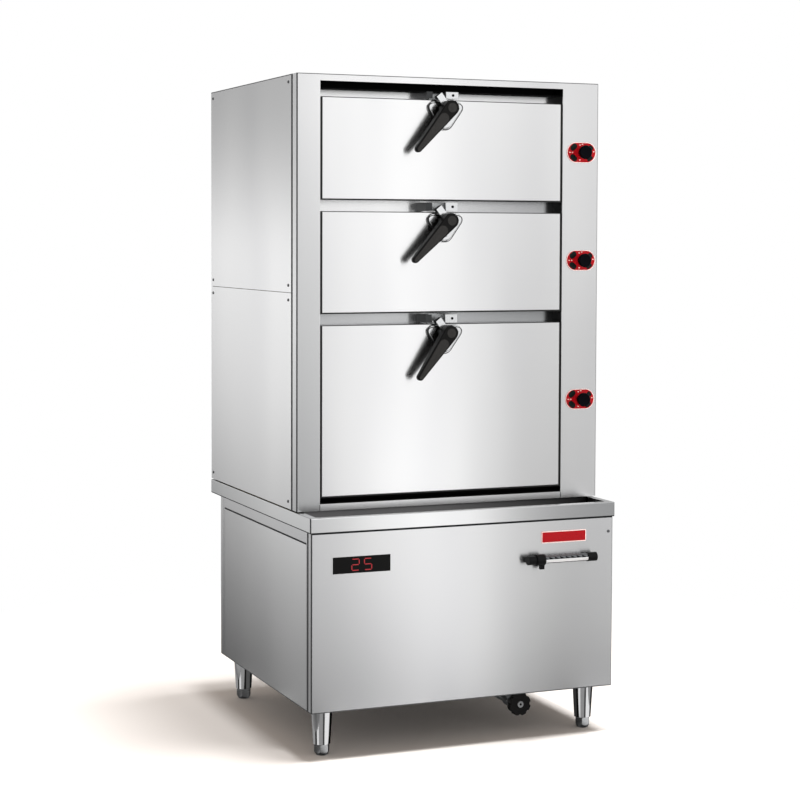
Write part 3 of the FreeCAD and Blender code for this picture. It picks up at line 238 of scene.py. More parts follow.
def repaint(material, mask, code, roughness=None, metallic=None):
    """Gives the part of a material that the mask picks out another colour, and finish."""
    tree = material.node_tree
    shader = tree.nodes["Principled BSDF"]
    old = shader.inputs["Base Color"].links[0].from_socket
    mixed = add(tree, "ShaderNodeMix", {0: mask, 6: old, 7: srgb(code)}, data_type="RGBA")
    tree.links.new(mixed.outputs[2], shader.inputs["Base Color"])
    if roughness is not None:
        old = shader.inputs["Roughness"].links[0].from_socket
        rough = add(tree, "ShaderNodeMix", {0: mask, 2: old, 3: roughness})
        tree.links.new(rough.outputs[0], shader.inputs["Roughness"])
    if metallic is not None:
        old = shader.inputs["Metallic"].default_value
        metal = add(tree, "ShaderNodeMix", {0: mask, 2: old, 3: metallic})
        tree.links.new(metal.outputs[0], shader.inputs["Metallic"])


# Ground sheet: bright, with its highlights drawn out across the grain
chest_sheet = brushed_stainless("stainless_chest_sheet", "f2f2f2", "e4e4e5", "Z", 0.21, 0.4)
base_side_sheet = brushed_stainless("stainless_base_side_sheet", "efefef", "e2e2e3", "Y", 0.21, 0.6)
frame_sheet = brushed_stainless("stainless_front_frame_sheet", "f2f2f2", "e4e4e5", "X")
base_sheet = brushed_stainless("stainless_base_sheet", "efefef", "e4e4e6", "X", 0.26, 0.7, 0.002)
door_sheet = brushed_stainless("stainless_door_sheet", "f5f5f5", "eaeaeb", "X")
# The crossbars' sheet is painted lighter than the other sheet, a painted light against the shade of their
# recess
bar_sheet = brushed_stainless("stainless_crossbar_sheet", "f8f8f8", "eeeeef", "X", 0.24)
worktop_sheet = brushed_stainless("stainless_worktop_sheet", "f2f2f2", "e2e3e4", "X")
liner_sheet = brushed_stainless("stainless_liner_sheet", "c6c7c8", "b2b4b6", "Y", 0.36)
# Polished, cast or plated round parts: small sharp highlights between dark bands
polished_tube = spun_steel("polished_stainless_tube", "ececed", 0.1)
cast_steel = spun_steel("investment_cast_stainless", "cfd0d1", 0.3)
keeper_steel = spun_steel("polished_keeper_steel", "e2e3e4", 0.2)
latch_steel = spun_steel("polished_cast_latch_steel", "e2e3e4", 0.16)
screw_steel = spun_steel("zinc_plated_screw_steel", "77787a", 0.3)
rail_steel = spun_steel("printed_rail_tube", "f6f6f6", 0.16)
# Moulded handles, knobs and wheels: deep black with hardly a highlight
lever_black = fine_grit("phenolic_lever_black", "0a0a0a", 0.45)
grip_grey = fine_grit("knurled_lever_grip", "2c2c2c", 0.6, 3.0)
knob_black = fine_grit("nylon_knob_black", "040408", 0.4, 2.0, 0.05)
wheel_black = fine_grit("phenolic_hand_wheel_black", "141414", 0.35)
bracket_black = fine_grit("nylon_bracket_black", "0b0b0c", 0.4)
# The vent slot and sill liners are black all over, a painted shade for the dark depth of the slots
slot_shade_black = fine_grit("powder_coated_slot_black", "030303", 0.8)
fan_black = fine_grit("polyamide_fan_black", "1c1d1e", 0.5)
float_white = fine_grit("polypropylene_float_white", "dcdcd6", 0.45)
# Anodised and printed plates, and the display: flat, even colour with a faint sheen
label_red = fine_grit("anodised_plate_red", "a20e18", 0.3, 3.0)
label_pale = fine_grit("anodised_plate_pale_edge", "f3dcda", 0.35, 3.0)
label_dark = fine_grit("anodised_plate_dark_print", "0c1514", 0.35, 3.0)
label_white = fine_grit("anodised_plate_white_print", "f2c4be", 0.35, 3.0)
# The latch plates' dark border is a painted shade along their edges
plate_rim_shade = fine_grit("latch_plate_edge_black", "0c0c0d", 0.5, 3.0)
display_black = fine_grit("smoked_acrylic_display", "060606", 0.3, 3.0)
display_white = fine_grit("polycarbonate_bezel_white", "f4f4f4", 0.4, 3.0)
# Seals, insulation and what is inside the base: dull or coppery
seal_black = soft_slab("silicone_seal_black", "1c1c1c", "101010", 2.0, 0.6)
wool = soft_slab("mineral_wool_yellow", "e2d39a", "bfae74", 3.0)
copper = spun_steel("enamelled_copper_coil", "b5713f", 0.35)
alloy_case = brushed_stainless("anodised_aluminium_case", "b9babb", "a9aaab", "Y", 0.45)
segment_red = lit_digits()


def painted_edge_line(material, one, other, code="6a6b6c"):
    """A dark line painted where two planes meet: a painted reflection of the dark side of the room in
    the small radius of a folded or butted corner, and, under the rim, a painted shadow. Each plane
    is an axis, a place and a reach in mm."""
    tree = material.node_tree
    masks = [near(tree, axis, place, reach * mm) for axis, place, reach in (one, other)]
    repaint(material, both_masks(tree, *masks), code, 0.5)


def painted_sheet_lines():
    """Dark lines painted along the folds and joints of the chest, the rim, the base and the doors as
    painted reflections, and a painted shadow under the rim's edge.
    """
    low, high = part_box("front_frame")
    for x in (low.x, high.x):
        painted_edge_line(frame_sheet, ("X", x, 2.2), ("Y", low.y, 6))
    painted_edge_line(frame_sheet, ("Z", high.z, 2.2), ("Y", low.y, 3))
    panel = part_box("chest_side_panels")
    for x in (panel[0].x, panel[1].x):
        painted_edge_line(frame_sheet, ("X", x, 2), ("Y", panel[0].y, 9), "454647")
        painted_edge_line(chest_sheet, ("X", x, 2), ("Y", panel[0].y, 4), "454647")
        painted_edge_line(chest_sheet, ("X", x, 2), ("Z", panel[1].z, 2.5))
    low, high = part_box("worktop")
    for x in (low.x, high.x):
        painted_edge_line(worktop_sheet, ("X", x, 2), ("Y", low.y, 6))
        # The rim's lower edge: a painted shadow line
        painted_edge_line(worktop_sheet, ("X", x, 1), ("Z", low.z, 2.6), "3c3d3e")
    painted_edge_line(worktop_sheet, ("Y", low.y, 1), ("Z", low.z, 2.6), "3c3d3e")
    rim_foot = low.z
    low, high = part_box("base_frame")
    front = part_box("base_front_panel")[0].y
    for x in (low.x, high.x):
        painted_edge_line(base_sheet, ("X", x, 2.2), ("Y", front, 7))
        painted_edge_line(base_sheet, ("X", x, 1), ("Y", front + 30 * mm, 6), "4c4d4e")
        painted_edge_line(base_sheet, ("X", x, 2), ("Z", low.z, 2.5))
    painted_edge_line(base_sheet, ("Y", front, 1), ("Z", low.z, 2.5))
    # A painted shadow on the base front under the rim's overhang
    painted_edge_line(base_sheet, ("Y", front, 1), ("Z", rim_foot, 3.5), "2c2d2e")
    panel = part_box("base_side_panels")
    for x in (panel[0].x, panel[1].x):
        # A painted shadow at the top of the base sides, under the rim
        painted_edge_line(base_side_sheet, ("X", x, 2), ("Z", panel[1].z, 3.5), "333435")
        painted_edge_line(base_side_sheet, ("X", x, 2), ("Z", panel[0].z, 2.5))
    for door in doors:
        low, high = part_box(door + "_door_skin")
        for x in (low.x, high.x):
            painted_edge_line(door_sheet, ("X", x, 1.5), ("Y", low.y, 2))
        painted_edge_line(door_sheet, ("Z", high.z, 2.2), ("Y", low.y, 2), "505152")


def shaded_deck():
    """Painted shade: the sunk deck inside the rim and its upstand are painted a dull grey, and black
    on the right. The rim's own front is painted darker towards the right end."""
    tree = worktop_sheet.node_tree
    low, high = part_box("worktop")
    side_lip, front_lip, edge = 24 * mm, 18 * mm, 2.5 * mm
    sunk = opposite(tree, beyond(tree, coordinate(tree, "Z"), high.z - edge))
    behind_lip = beyond(tree, coordinate(tree, "Y"), low.y + front_lip)
    inside = both_masks(tree, near(tree, "X", 0.0, high.x - side_lip), behind_lip)
    deck = both_masks(tree, sunk, inside)
    repaint(worktop_sheet, deck, "808183", 0.6, 0.0)
    # Painted shade: the deck painted black towards its right end
    painted_shade_right = beyond(tree, coordinate(tree, "X"), 0.2, 0.25)
    repaint(worktop_sheet, both_masks(tree, deck, painted_shade_right), "050505")
    tree.nodes["Principled BSDF"].inputs["Specular IOR Level"].default_value = 0.1
    # Painted shade: the rim's front painted darker towards its right end
    front = opposite(tree, beyond(tree, coordinate(tree, "Y"), low.y + 1 * mm))
    right_end = beyond(tree, coordinate(tree, "X"), 0.25, 0.25)
    repaint(worktop_sheet, both_masks(tree, front, right_end), "b4b5b6")


def frame_joints_and_shade():
    """Hairlines where the frame's bottom rail meets its stiles, the returns beside the doors painted
    black as a painted shade, and painted shade that darkens the left stile towards its foot."""
    tree = frame_sheet.node_tree
    across, height = coordinate(tree, "X"), coordinate(tree, "Z")
    left, right = (corner.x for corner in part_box("crossbars"))
    # Painted shade: the left stile darker towards its foot
    shade_top, shade_foot = 1.75, 0.7
    sockets = {"Value": height, "From Min": shade_top, "From Max": shade_foot, "To Max": 0.75}
    stile_shade = add(tree, "ShaderNodeMapRange", sockets).outputs[0]
    outer = opposite(tree, beyond(tree, across, left - 1 * mm))
    repaint(frame_sheet, both_masks(tree, stile_shade, outer), "b9babb")
    over_rail = beyond(tree, height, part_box("slot_liners")[0].z - 1 * mm)
    below = opposite(tree, over_rail)
    for edge in (left, right):
        repaint(frame_sheet, both_masks(tree, below, near(tree, "X", edge, 0.9 * mm)), "4a4b4c", 0.5)
    # Painted shade: the returns beside the doors are painted black above the sill
    gap_shade_width = 0.6 * mm
    past_left = beyond(tree, across, left - gap_shade_width)
    short_of_right = opposite(tree, beyond(tree, across, right + gap_shade_width))
    inward = beyond(tree, coordinate(tree, "Y"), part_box("front_frame")[0].y + 3 * mm)
    between = both_masks(tree, both_masks(tree, past_left, short_of_right), inward)
    repaint(frame_sheet, both_masks(tree, between, over_rail), "0b0b0b", 0.6, 0.0)


def shaded_latch_sides():
    """Painted shade: the latch castings are painted dark on their sides, and only their faces keep the
    polished colour. So are the keepers' hooks and, less so, the keepers' tops."""
    tree = latch_steel.node_tree
    repaint(latch_steel, beyond(tree, faces_along(tree, "Y"), -0.7, 0.1), "3a3b3c", 0.4)
    tree = keeper_steel.node_tree
    hook_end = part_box("latch_strikes")[0].x + 32 * mm
    shaded_hook = opposite(tree, beyond(tree, coordinate(tree, "X"), hook_end))
    repaint(keeper_steel, shaded_hook, "454647", 0.3)
    repaint(keeper_steel, beyond(tree, faces_along(tree, "Z"), 0.7, 0.1), "77787a", 0.3)


def shade_low_bars():
    """Painted shade: the lowest crossbar is painted darker, and the lower crossbars darker still
    towards their right ends.
    """
    tree = bar_sheet.node_tree
    height = coordinate(tree, "Z")
    bottom_bar, upper_bars = 1.3, 1.6
    repaint(bar_sheet, opposite(tree, beyond(tree, height, bottom_bar)), "c4c5c6")
    right_side = beyond(tree, coordinate(tree, "X"), 0.15, 0.35)
    low_bars = opposite(tree, beyond(tree, height, upper_bars))
    repaint(bar_sheet, both_masks(tree, low_bars, right_side), "989a9b")


def printed_scale_and_painted_light():
    """The power rail's scale: dark teeth printed on grey on its upper half. Below, the tube is painted
    near-white, a painted highlight, with a painted shadow line at its foot."""
    tree = rail_steel.node_tree
    low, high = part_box("power_rail")
    height = coordinate(tree, "Z")
    upper = beyond(tree, height, (low.z + high.z) / 2 + 1 * mm)
    repaint(rail_steel, upper, "77797b", 0.4)
    tooth_pitch, tooth_slope, tooth_top = 17 * mm, -0.45, low.z + 19 * mm
    sockets = {0: coordinate(tree, "X"), 1: tooth_pitch, 2: 0.0}
    saw = add(tree, "ShaderNodeMath", sockets, operation="WRAP").outputs[0]
    sockets = {0: saw, 1: tooth_slope, 2: tooth_top}
    slope = add(tree, "ShaderNodeMath", sockets, operation="MULTIPLY_ADD").outputs[0]
    tooth = add(tree, "ShaderNodeMath", {0: height, 1: slope}, operation="LESS_THAN").outputs[0]
    repaint(rail_steel, both_masks(tree, upper, tooth), "1d1e1f", 0.5)
    # Painted highlight: the lower half of the tube painted near-white
    repaint(rail_steel, opposite(tree, upper), "f4f6f8", 0.3, 0.5)
    # Painted shadow: a dark line along the tube's foot
    foot = opposite(tree, beyond(tree, height, low.z + 3 * mm))
    repaint(rail_steel, foot, "1a1b1c", 0.4)


def steel_nut_on_wheel():
    """The hand wheel's polished nut, with the dark end of the stem in its middle."""
    tree = wheel_black.node_tree
    nut_radius, stem_radius, nut_back = 9.2 * mm, 3.6 * mm, 2.9 * mm
    off_axis = around(tree, Vector(joints["drain_turn"]["pos_m"]), "XZ")
    wheel_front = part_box("drain_hand_wheel")[0].y
    ahead = opposite(tree, beyond(tree, coordinate(tree, "Y"), wheel_front + nut_back, 0.1 * mm))
    nut = both_masks(tree, ahead, opposite(tree, beyond(tree, off_axis, nut_radius)))
    repaint(wheel_black, nut, "d9dadb", 0.15, 1.0)
    stem = both_masks(tree, ahead, opposite(tree, beyond(tree, off_axis, stem_radius)))
    repaint(wheel_black, stem, "1b1b1c", 0.5)


def ferrite_bars():
    """Dull black ferrite bars under the copper winding."""
    tree = copper.node_tree
    winding_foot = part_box("induction_coil")[1].z - 14.2 * mm
    bars = opposite(tree, beyond(tree, coordinate(tree, "Z"), winding_foot))
    repaint(copper, bars, "26272a", 0.7, 0.0)


def steel_float_arm():
    """The float's plain steel arm and pin, beside its white ball."""
    tree = float_white.node_tree
    low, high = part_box("float_arm")
    ball_radius = 32 * mm
    ball = Vector(((low.x + high.x) / 2, low.y + ball_radius, low.z + ball_radius))
    off_ball = around(tree, ball, "XYZ")
    repaint(float_white, beyond(tree, off_ball, ball_radius + 0.5 * mm), "b9babb", 0.3, 1.0)


shaded_deck()
frame_joints_and_shade()
painted_sheet_lines()
shaded_latch_sides()
shade_low_bars()
printed_scale_and_painted_light()
steel_nut_on_wheel()
ferrite_bars()
steel_float_arm()

finish_of = {
    "base_frame": base_sheet,
    "base_front_panel": base_sheet,
    "base_side_panels": base_side_sheet,
    "back_panels": chest_sheet,
    "worktop": worktop_sheet,
    "front_frame": frame_sheet,
    "chest_side_panels": chest_sheet,
    "chest_top_panel": frame_sheet,
    "slot_liners": slot_shade_black,
    "chamber_insulation": wool,
    "crossbars": bar_sheet,
    "racks": polished_tube,
    "steam_riser": cast_steel,
    "hinge_pins": polished_tube,
    "latch_strikes": keeper_steel,
    "front_labels": label_red,
    "water_tank": liner_sheet,
    "induction_coil": copper,
    "power_module": alloy_case,
    "feed_water_box": liner_sheet,
    "display_window": display_black,
    "power_rail": rail_steel,
    "rail_brackets": bracket_black,
    "power_slider": bracket_black,
    "leg_tubes": polished_tube,
    "screws": screw_steel,
    "drain_hand_wheel": wheel_black,
    "fan_rotor": fan_black,
    "float_arm": float_white,
}
finish_at_door = {
    "chamber_liner": liner_sheet,
    "door_skin": door_sheet,
    "door_inner_pan": liner_sheet,
    "door_core": wool,
    "door_seal": seal_black,
    "latch_plate": latch_steel,
    "latch_tongue": latch_steel,
    "latch_lever": lever_black,
    "valve_knob": knob_black,
}
for door in doors:
    finish_of.update({f"{door}_{piece}": made for piece, made in finish_at_door.items()})
for foot in feet:
    finish_of[foot + "_foot"] = cast_steel
for name, made in finish_of.items():
    nodes[name].data.materials.clear()
    nodes[name].data.materials.append(made)


# Working in edit mode
def start(add_shape, **sizes):
    """Adds a primitive with nothing else selected, its place moved into its mesh."""
    bpy.ops.object.select_all(action="DESELECT")
    add_shape(**sizes)
    bpy.ops.object.transform_apply(location=True, rotation=True, scale=True)
    return bpy.context.object


def disc(corners, radius, place=(0, 0, 0), turn=0.0):
    """A flat round or many-sided face that faces -Y, turned about Y."""
    return start(
        bpy.ops.mesh.primitive_circle_add,
        vertices=corners,
        radius=radius,
        fill_type="NGON",
        location=place,
        rotation=(math.pi / 2, turn, 0),
    )


def edit(piece):
    bpy.ops.object.select_all(action="DESELECT")
    piece.select_set(True)
    bpy.context.view_layer.objects.active = piece
    bpy.ops.object.mode_set(mode="EDIT")


def finish_edit():
    bpy.ops.object.mode_set(mode="OBJECT")


def pick(piece, part, test):
    """Selects the open piece's faces, edges or vertices that pass the test, and no others."""
    bpy.ops.mesh.select_mode(type={"faces": "FACE", "edges": "EDGE", "verts": "VERT"}[part])
    bpy.ops.mesh.select_all(action="DESELECT")
    mesh = bmesh.from_edit_mesh(piece.data)
    for item in getattr(mesh, part):
        item.select_set(test(item))
    bmesh.update_edit_mesh(piece.data)


def keep_border(piece, width):
    """Cuts the middle out of the open flat piece, leaves a border and closes edit mode."""
    pick(piece, "faces", lambda face: True)
    bpy.ops.mesh.inset(thickness=width)
    bpy.ops.mesh.delete(type="FACE")
    finish_edit()


def thicken(piece, thickness):
    """Turns a flat piece into a plate that keeps its back where the piece was."""
    plate = piece.modifiers.new("plate", "SOLIDIFY")
    plate.thickness, plate.offset = thickness, 1.0
    bpy.context.view_layer.objects.active = piece
    bpy.ops.object.modifier_apply(modifier="plate")


def joined(pieces):
    """Makes one piece of several."""
    bpy.ops.object.select_all(action="DESELECT")
    for piece in pieces:
        piece.select_set(True)
    bpy.context.view_layer.objects.active = pieces[0]
    if len(pieces) > 1:
        bpy.ops.object.join()
    return pieces[0]


def copy_to(model, name, turn):
    """A copy of a finished model with its own mesh, moved there in its mesh."""
    piece = model.copy()
    piece.data = model.data.copy()
    piece.data.transform(turn)
    piece.name = piece.data.name = name
    bpy.context.scene.collection.objects.link(piece)
    return piece


def hang(piece, name, finish, body):
    """Names a finished piece, gives it its material and lets it ride on its body."""
    piece.name = piece.data.name = name
    piece.data.materials.clear()
    piece.data.materials.append(finish)
    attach(piece, body)
    return piece


def smooth(piece, degrees=35):
    """Smooths the piece except at edges sharper than the angle."""
    bpy.ops.object.select_all(action="DESELECT")
    piece.select_set(True)
    bpy.context.view_layer.objects.active = piece
    bpy.ops.object.shade_smooth_by_angle(angle=math.radians(degrees))


# Screws
def cross_cutter(radius, rise):
    """A cross-shaped bit that cuts the recess of a screw head."""
    arm, reach = radius * 0.2, radius * 0.55
    size = (arm, rise * 1.1, arm)
    bit = start(bpy.ops.mesh.primitive_cube_add, size=1, location=(0, -rise, 0), scale=size)
    edit(bit)
    for side in (Vector((1, 0, 0)), Vector((-1, 0, 0)), Vector((0, 0, 1)), Vector((0, 0, -1))):
        pick(
            bit,
            "faces",
            lambda face: face.normal.dot(side) > 0.9 and abs(face.calc_center_median().dot(side)) < arm,
        )
        bpy.ops.mesh.extrude_region_move(TRANSFORM_OT_translate={"value": side * reach})
    finish_edit()
    return bit


def pan_head(radius, rise):
    """A cross-recessed pan head: its underside lies at the origin and its crown faces -Y."""
    side_rise, bevel_rise, crown_rise = rise * 0.55, rise * 0.3, rise * 0.15
    head = start(
        bpy.ops.mesh.primitive_cylinder_add,
        vertices=20,
        radius=radius,
        depth=side_rise,
        location=(0, -side_rise / 2, 0),
        rotation=(math.pi / 2, 0, 0),
    )
    edit(head)
    pick(head, "faces", lambda face: face.normal.y < -0.9)
    bpy.ops.mesh.inset(thickness=radius * 0.2)
    bpy.ops.transform.translate(value=(0, -bevel_rise, 0))
    bpy.ops.mesh.inset(thickness=radius * 0.3)
    bpy.ops.transform.translate(value=(0, -crown_rise, 0))
    finish_edit()
    bit = cross_cutter(radius, rise)
    recess = head.modifiers.new("recess", "BOOLEAN")
    recess.object, recess.operation = bit, "DIFFERENCE"
    bpy.context.view_layer.objects.active = head
    bpy.ops.object.modifier_apply(modifier="recess")
    bpy.data.objects.remove(bit)
    smooth(head)
    return head


def solids_of(node):
    """The lowest and highest corners of a CAD node's separate solids."""
    mesh = bmesh.new()
    mesh.from_mesh(nodes[node].data)
    bmesh.ops.remove_doubles(mesh, verts=mesh.verts, dist=0.001 * mm)
    left = set(mesh.verts)
    boxes = []
    while left:
        found = {left.pop()}
        edge = set(found)
        while edge:
            edge = {e.other_vert(v) for v in edge for e in v.link_edges} - found
            found |= edge
        left -= found
        rows = list(zip(*[v.co for v in found]))
        boxes.append((Vector([min(row) for row in rows]), Vector([max(row) for row in rows])))
    mesh.free()
    return sorted(boxes, key=lambda box: tuple(box[0]))


def panel_screws():
    """Every panel screw of the CAD model, now with a crowned head and a cross recess."""
    boxes = solids_of("screws")
    radius = max(max(high - low) for low, high in boxes) / 2
    rise = min(min(high - low) for low, high in boxes)
    model = pan_head(radius, rise)
    heads = []
    for low, high in boxes:
        size, middle = high - low, (low + high) / 2
        axis = min(range(3), key=lambda i: size[i])
        out = Vector((0, 0, 0))
        out[axis] = 1 if middle[axis] > 0 else -1
        foot = middle - out * rise / 2
        turn = Vector((0, -1, 0)).rotation_difference(out).to_matrix().to_4x4()
        heads.append(copy_to(model, "head", Matrix.Translation(foot) @ turn))
    bpy.data.objects.remove(model)
    screws = hang(joined(heads), "panel_screws", screw_steel, "cabinet")
    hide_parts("screws")


def plate_face(door):
    """The x of a latch's pivot and the y of its plate's front."""
    x, y, _ = joints[door + "_latch_pivot"]["pos_m"]
    return x, y - 8.0 * mm


def latch_screws():
    """Three screws hold each latch plate, and one small screw each keeper."""
    model = pan_head(4.6 * mm, 2.4 * mm)
    lobe, lobe_drop, foot_rise = 36 * mm, 19 * mm, 14 * mm
    for door in doors:
        low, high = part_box(door + "_latch_plate")
        middle, front = plate_face(door)
        upper = high.z - lobe_drop
        places = ((middle - lobe, upper), (middle + lobe, upper), (middle, low.z + foot_rise))
        heads = [copy_to(model, "head", Matrix.Translation((x, front, z))) for x, z in places]
        hang(joined(heads), door + "_plate_screws", screw_steel, door + "_door")
    keepers = []
    for low, high in solids_of("latch_strikes"):
        place = (high.x - 17 * mm, low.y, (low.z + high.z) / 2)
        keepers.append(copy_to(model, "head", Matrix.Translation(place) @ Matrix.Scale(0.8, 4)))
    hang(joined(keepers), "keeper_screws", bracket_black, "cabinet")
    bpy.data.objects.remove(model)


def lever_grips():
    """A knurled pad let into the sloping front of each lever, and a flat cap over its pivot."""
    narrow_end, pad_margin, thickness = 0.36, 46 * mm, 0.8 * mm
    slope_start, down_slope, lean = 21 * mm, 17 * mm, math.atan2(6.5, 146)
    onto_slope = Matrix.Translation((0, 0, -slope_start)) @ Matrix.Rotation(lean, 4, "X")
    for door in doors:
        pivot = Vector(joints[door + "_latch_pivot"]["pos_m"])
        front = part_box(door + "_latch_lever")[0].y
        lever = nodes[door + "_latch_lever"].data.vertices
        reach = max((v.co - pivot for v in lever), key=lambda offset: offset.xz.length).xz
        pad, cap = disc(48, 14 * mm), disc(48, 13 * mm)
        edit(pad)
        pick(pad, "verts", lambda vert: vert.co.z < -0.5 * mm)
        bpy.ops.transform.resize(value=(narrow_end, 1, narrow_end), center_override=(0, 0, 0))
        bpy.ops.transform.translate(value=(0, 0, pad_margin - reach.length))
        finish_edit()
        for piece in (pad, cap):
            thicken(piece, thickness)
        pad.data.transform(onto_slope @ Matrix.Translation((0, 0, -down_slope)))
        grip = joined([pad, cap])
        swing = Matrix.Rotation(math.atan2(-reach.x, -reach.y), 4, "Y")
        grip.data.transform(Matrix.Translation((pivot.x, front + 0.2 * mm, pivot.z)) @ swing)
        hang(grip, door + "_lever_grip", grip_grey, door + "_latch")


def shaded_latch_plate_rims():
    """A dark border painted on the face of each three-lobed latch plate, a painted shade along its
    turned-down edge. Its corners are rounded to the radii of the side lobes and of the foot."""
    corner_reach, widen = 60.9 * mm, 1.232
    foot_round, lobe_round = 33.8 * mm, 31.0 * mm
    for door in doors:
        middle, front = plate_face(door)
        centre = (middle, front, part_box(door + "_latch_plate")[1].z - 34.5 * mm)
        edge = disc(3, corner_reach, centre, math.pi)
        edit(edge)
        bpy.ops.mesh.select_all(action="SELECT")
        bpy.ops.transform.resize(value=(widen, 1, 1), center_override=centre)
        pick(edge, "verts", lambda vert: vert.co.z < centre[2])
        bpy.ops.mesh.bevel(offset=foot_round, segments=12, affect="VERTICES")
        pick(edge, "verts", lambda vert: abs(vert.co.x - middle) > 55 * mm)
        bpy.ops.mesh.bevel(offset=lobe_round, segments=12, affect="VERTICES")
        keep_border(edge, 2.2 * mm)
        thicken(edge, 0.3 * mm)
        hang(edge, door + "_latch_plate_edge", plate_rim_shade, door + "_door")


def is_rib(face, axis_place):
    """Picks every other face round a knob's grip."""
    off_axis = (face.calc_center_median() - axis_place).xz.length
    if abs(face.normal.y) >= 0.3 or off_axis <= 17.5 * mm:
        return False
    turn = math.degrees(math.atan2(face.normal.x, face.normal.z))
    return round(turn / 7.5 + 0.5) % 2 == 1


def valve_knobs():
    """Moulded knobs: a narrow neck on the plate flares to a round ribbed grip with a crowned
    face. Each step of the flare is a share of the depth and a growth."""
    neck_radius, off_plate, flat_edge, crown, rib_height = 10.5 * mm, 1.4 * mm, 3 * mm, 0.8 * mm, 0.96
    flare = ((0.35, 1.15), (0.25, 1.55), (0.3, 1.06), (0.1, 0.88))
    for door in doors:
        x, y, z = joints[door + "_valve_turn"]["pos_m"]
        back = Vector((x, y - off_plate, z))
        depth = back.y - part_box(door + "_valve_knob")[0].y
        knob = disc(48, neck_radius, back)
        edit(knob)
        bpy.ops.mesh.select_all(action="SELECT")
        for share, grow in flare:
            bpy.ops.mesh.extrude_region_move(TRANSFORM_OT_translate={"value": (0, -depth * share, 0)})
            bpy.ops.transform.resize(value=(grow, 1, grow), center_override=back)
        bpy.ops.mesh.inset(thickness=flat_edge)
        bpy.ops.transform.translate(value=(0, crown, 0))
        pick(knob, "faces", lambda face: is_rib(face, back))
        bpy.ops.mesh.inset(thickness=0.2 * mm, use_individual=True)
        bpy.ops.transform.resize(value=(rib_height, 1, rib_height), center_override=back)
        finish_edit()
        smooth(knob)
        hang(knob, door + "_flared_knob", knob_black, door + "_valve")
        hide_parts(door + "_valve_knob")


# Plates, display and rail
def frame_of(low, high, front, width, corner, thickness):
    """A flat rectangular border with rounded corners, facing -Y."""
    middle = (low + high) / 2
    border = start(
        bpy.ops.mesh.primitive_plane_add,
        size=high.x - low.x,
        location=(middle.x, front, middle.z),
        rotation=(math.pi / 2, 0, 0),
    )
    edit(border)
    bpy.ops.mesh.select_all(action="SELECT")
    tall = (high.z - low.z) / (high.x - low.x)
    bpy.ops.transform.resize(value=(1, 1, tall), center_override=(middle.x, front, middle.z))
    bpy.ops.mesh.bevel(offset=corner, segments=5, affect="VERTICES")
    keep_border(border, width)
    thicken(border, thickness)
    return border


def dial_oval(centre, half, radius):
    """A flat oval with straight sides, facing -Y."""
    oval = disc(64, radius, centre)
    edit(oval)
    for side in (-1, 1):
        pick(oval, "verts", lambda vert: (vert.co.x - centre[0]) * side > 0.1 * mm)
        bpy.ops.transform.translate(value=(side * half, 0, 0))
    finish_edit()
    return oval


def valve_dials():
    """Each valve plate's pale edge, dark print and white ticks, printed a little proud. A dark
    field is placed from the knob's axis, and has a width, a height and a lean."""
    dark_fields = ((-25, 15, 12, 8, 40), (-25, -15, 12, 8, -40), (27, -17, 10, 5, 35), (30, 14, 8, 6, -45))
    tick_places = ((-37, 0), (-29, 0), (-5, 21), (3, 24), (-5, -21), (39, 3))
    for door in doors:
        x, y, z = joints[door + "_valve_turn"]["pos_m"]
        front = y - 1.2 * mm
        edge = dial_oval((x, front, z), 17 * mm, 29 * mm)
        edit(edge)
        keep_border(edge, 1.6 * mm)
        thicken(edge, 0.25 * mm)
        hang(edge, door + "_dial_edge", label_pale, "cabinet")
        fields = []
        for dx, dz, wide, tall, lean in dark_fields:
            centre = (x + dx * mm, front, z + dz * mm)
            field = dial_oval(centre, (wide - tall) * mm, tall * mm)
            edit(field)
            bpy.ops.mesh.select_all(action="SELECT")
            bpy.ops.transform.rotate(value=math.radians(lean), orient_axis="Y", center_override=centre)
            finish_edit()
            fields.append(field)
        ticks = [dial_oval((x + dx * mm, front, z + dz * mm), 0.8 * mm, 1.5 * mm) for dx, dz in tick_places]
        for piece in fields + ticks:
            thicken(piece, 0.2 * mm)
        hang(joined(fields), door + "_dial_print", label_dark, "cabinet")
        hang(joined(ticks), door + "_dial_ticks", label_white, "cabinet")


def nameplate_edge():
    """The blank nameplate keeps its pale printed edge."""
    low, high = min(solids_of("front_labels"), key=lambda box: box[0].z)
    border = frame_of(low, high, low.y, width=2.4 * mm, corner=4 * mm, thickness=0.25 * mm)
    hang(border, "nameplate_edge", label_pale, "cabinet")


def display_bezel():
    """The thin white bezel on the display's lip."""
    low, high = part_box("display_window")
    front = low.y + 0.5 * mm
    border = frame_of(low, high, front, width=3 * mm, corner=1 * mm, thickness=0.3 * mm)
    hang(border, "display_bezel", display_white, "cabinet")


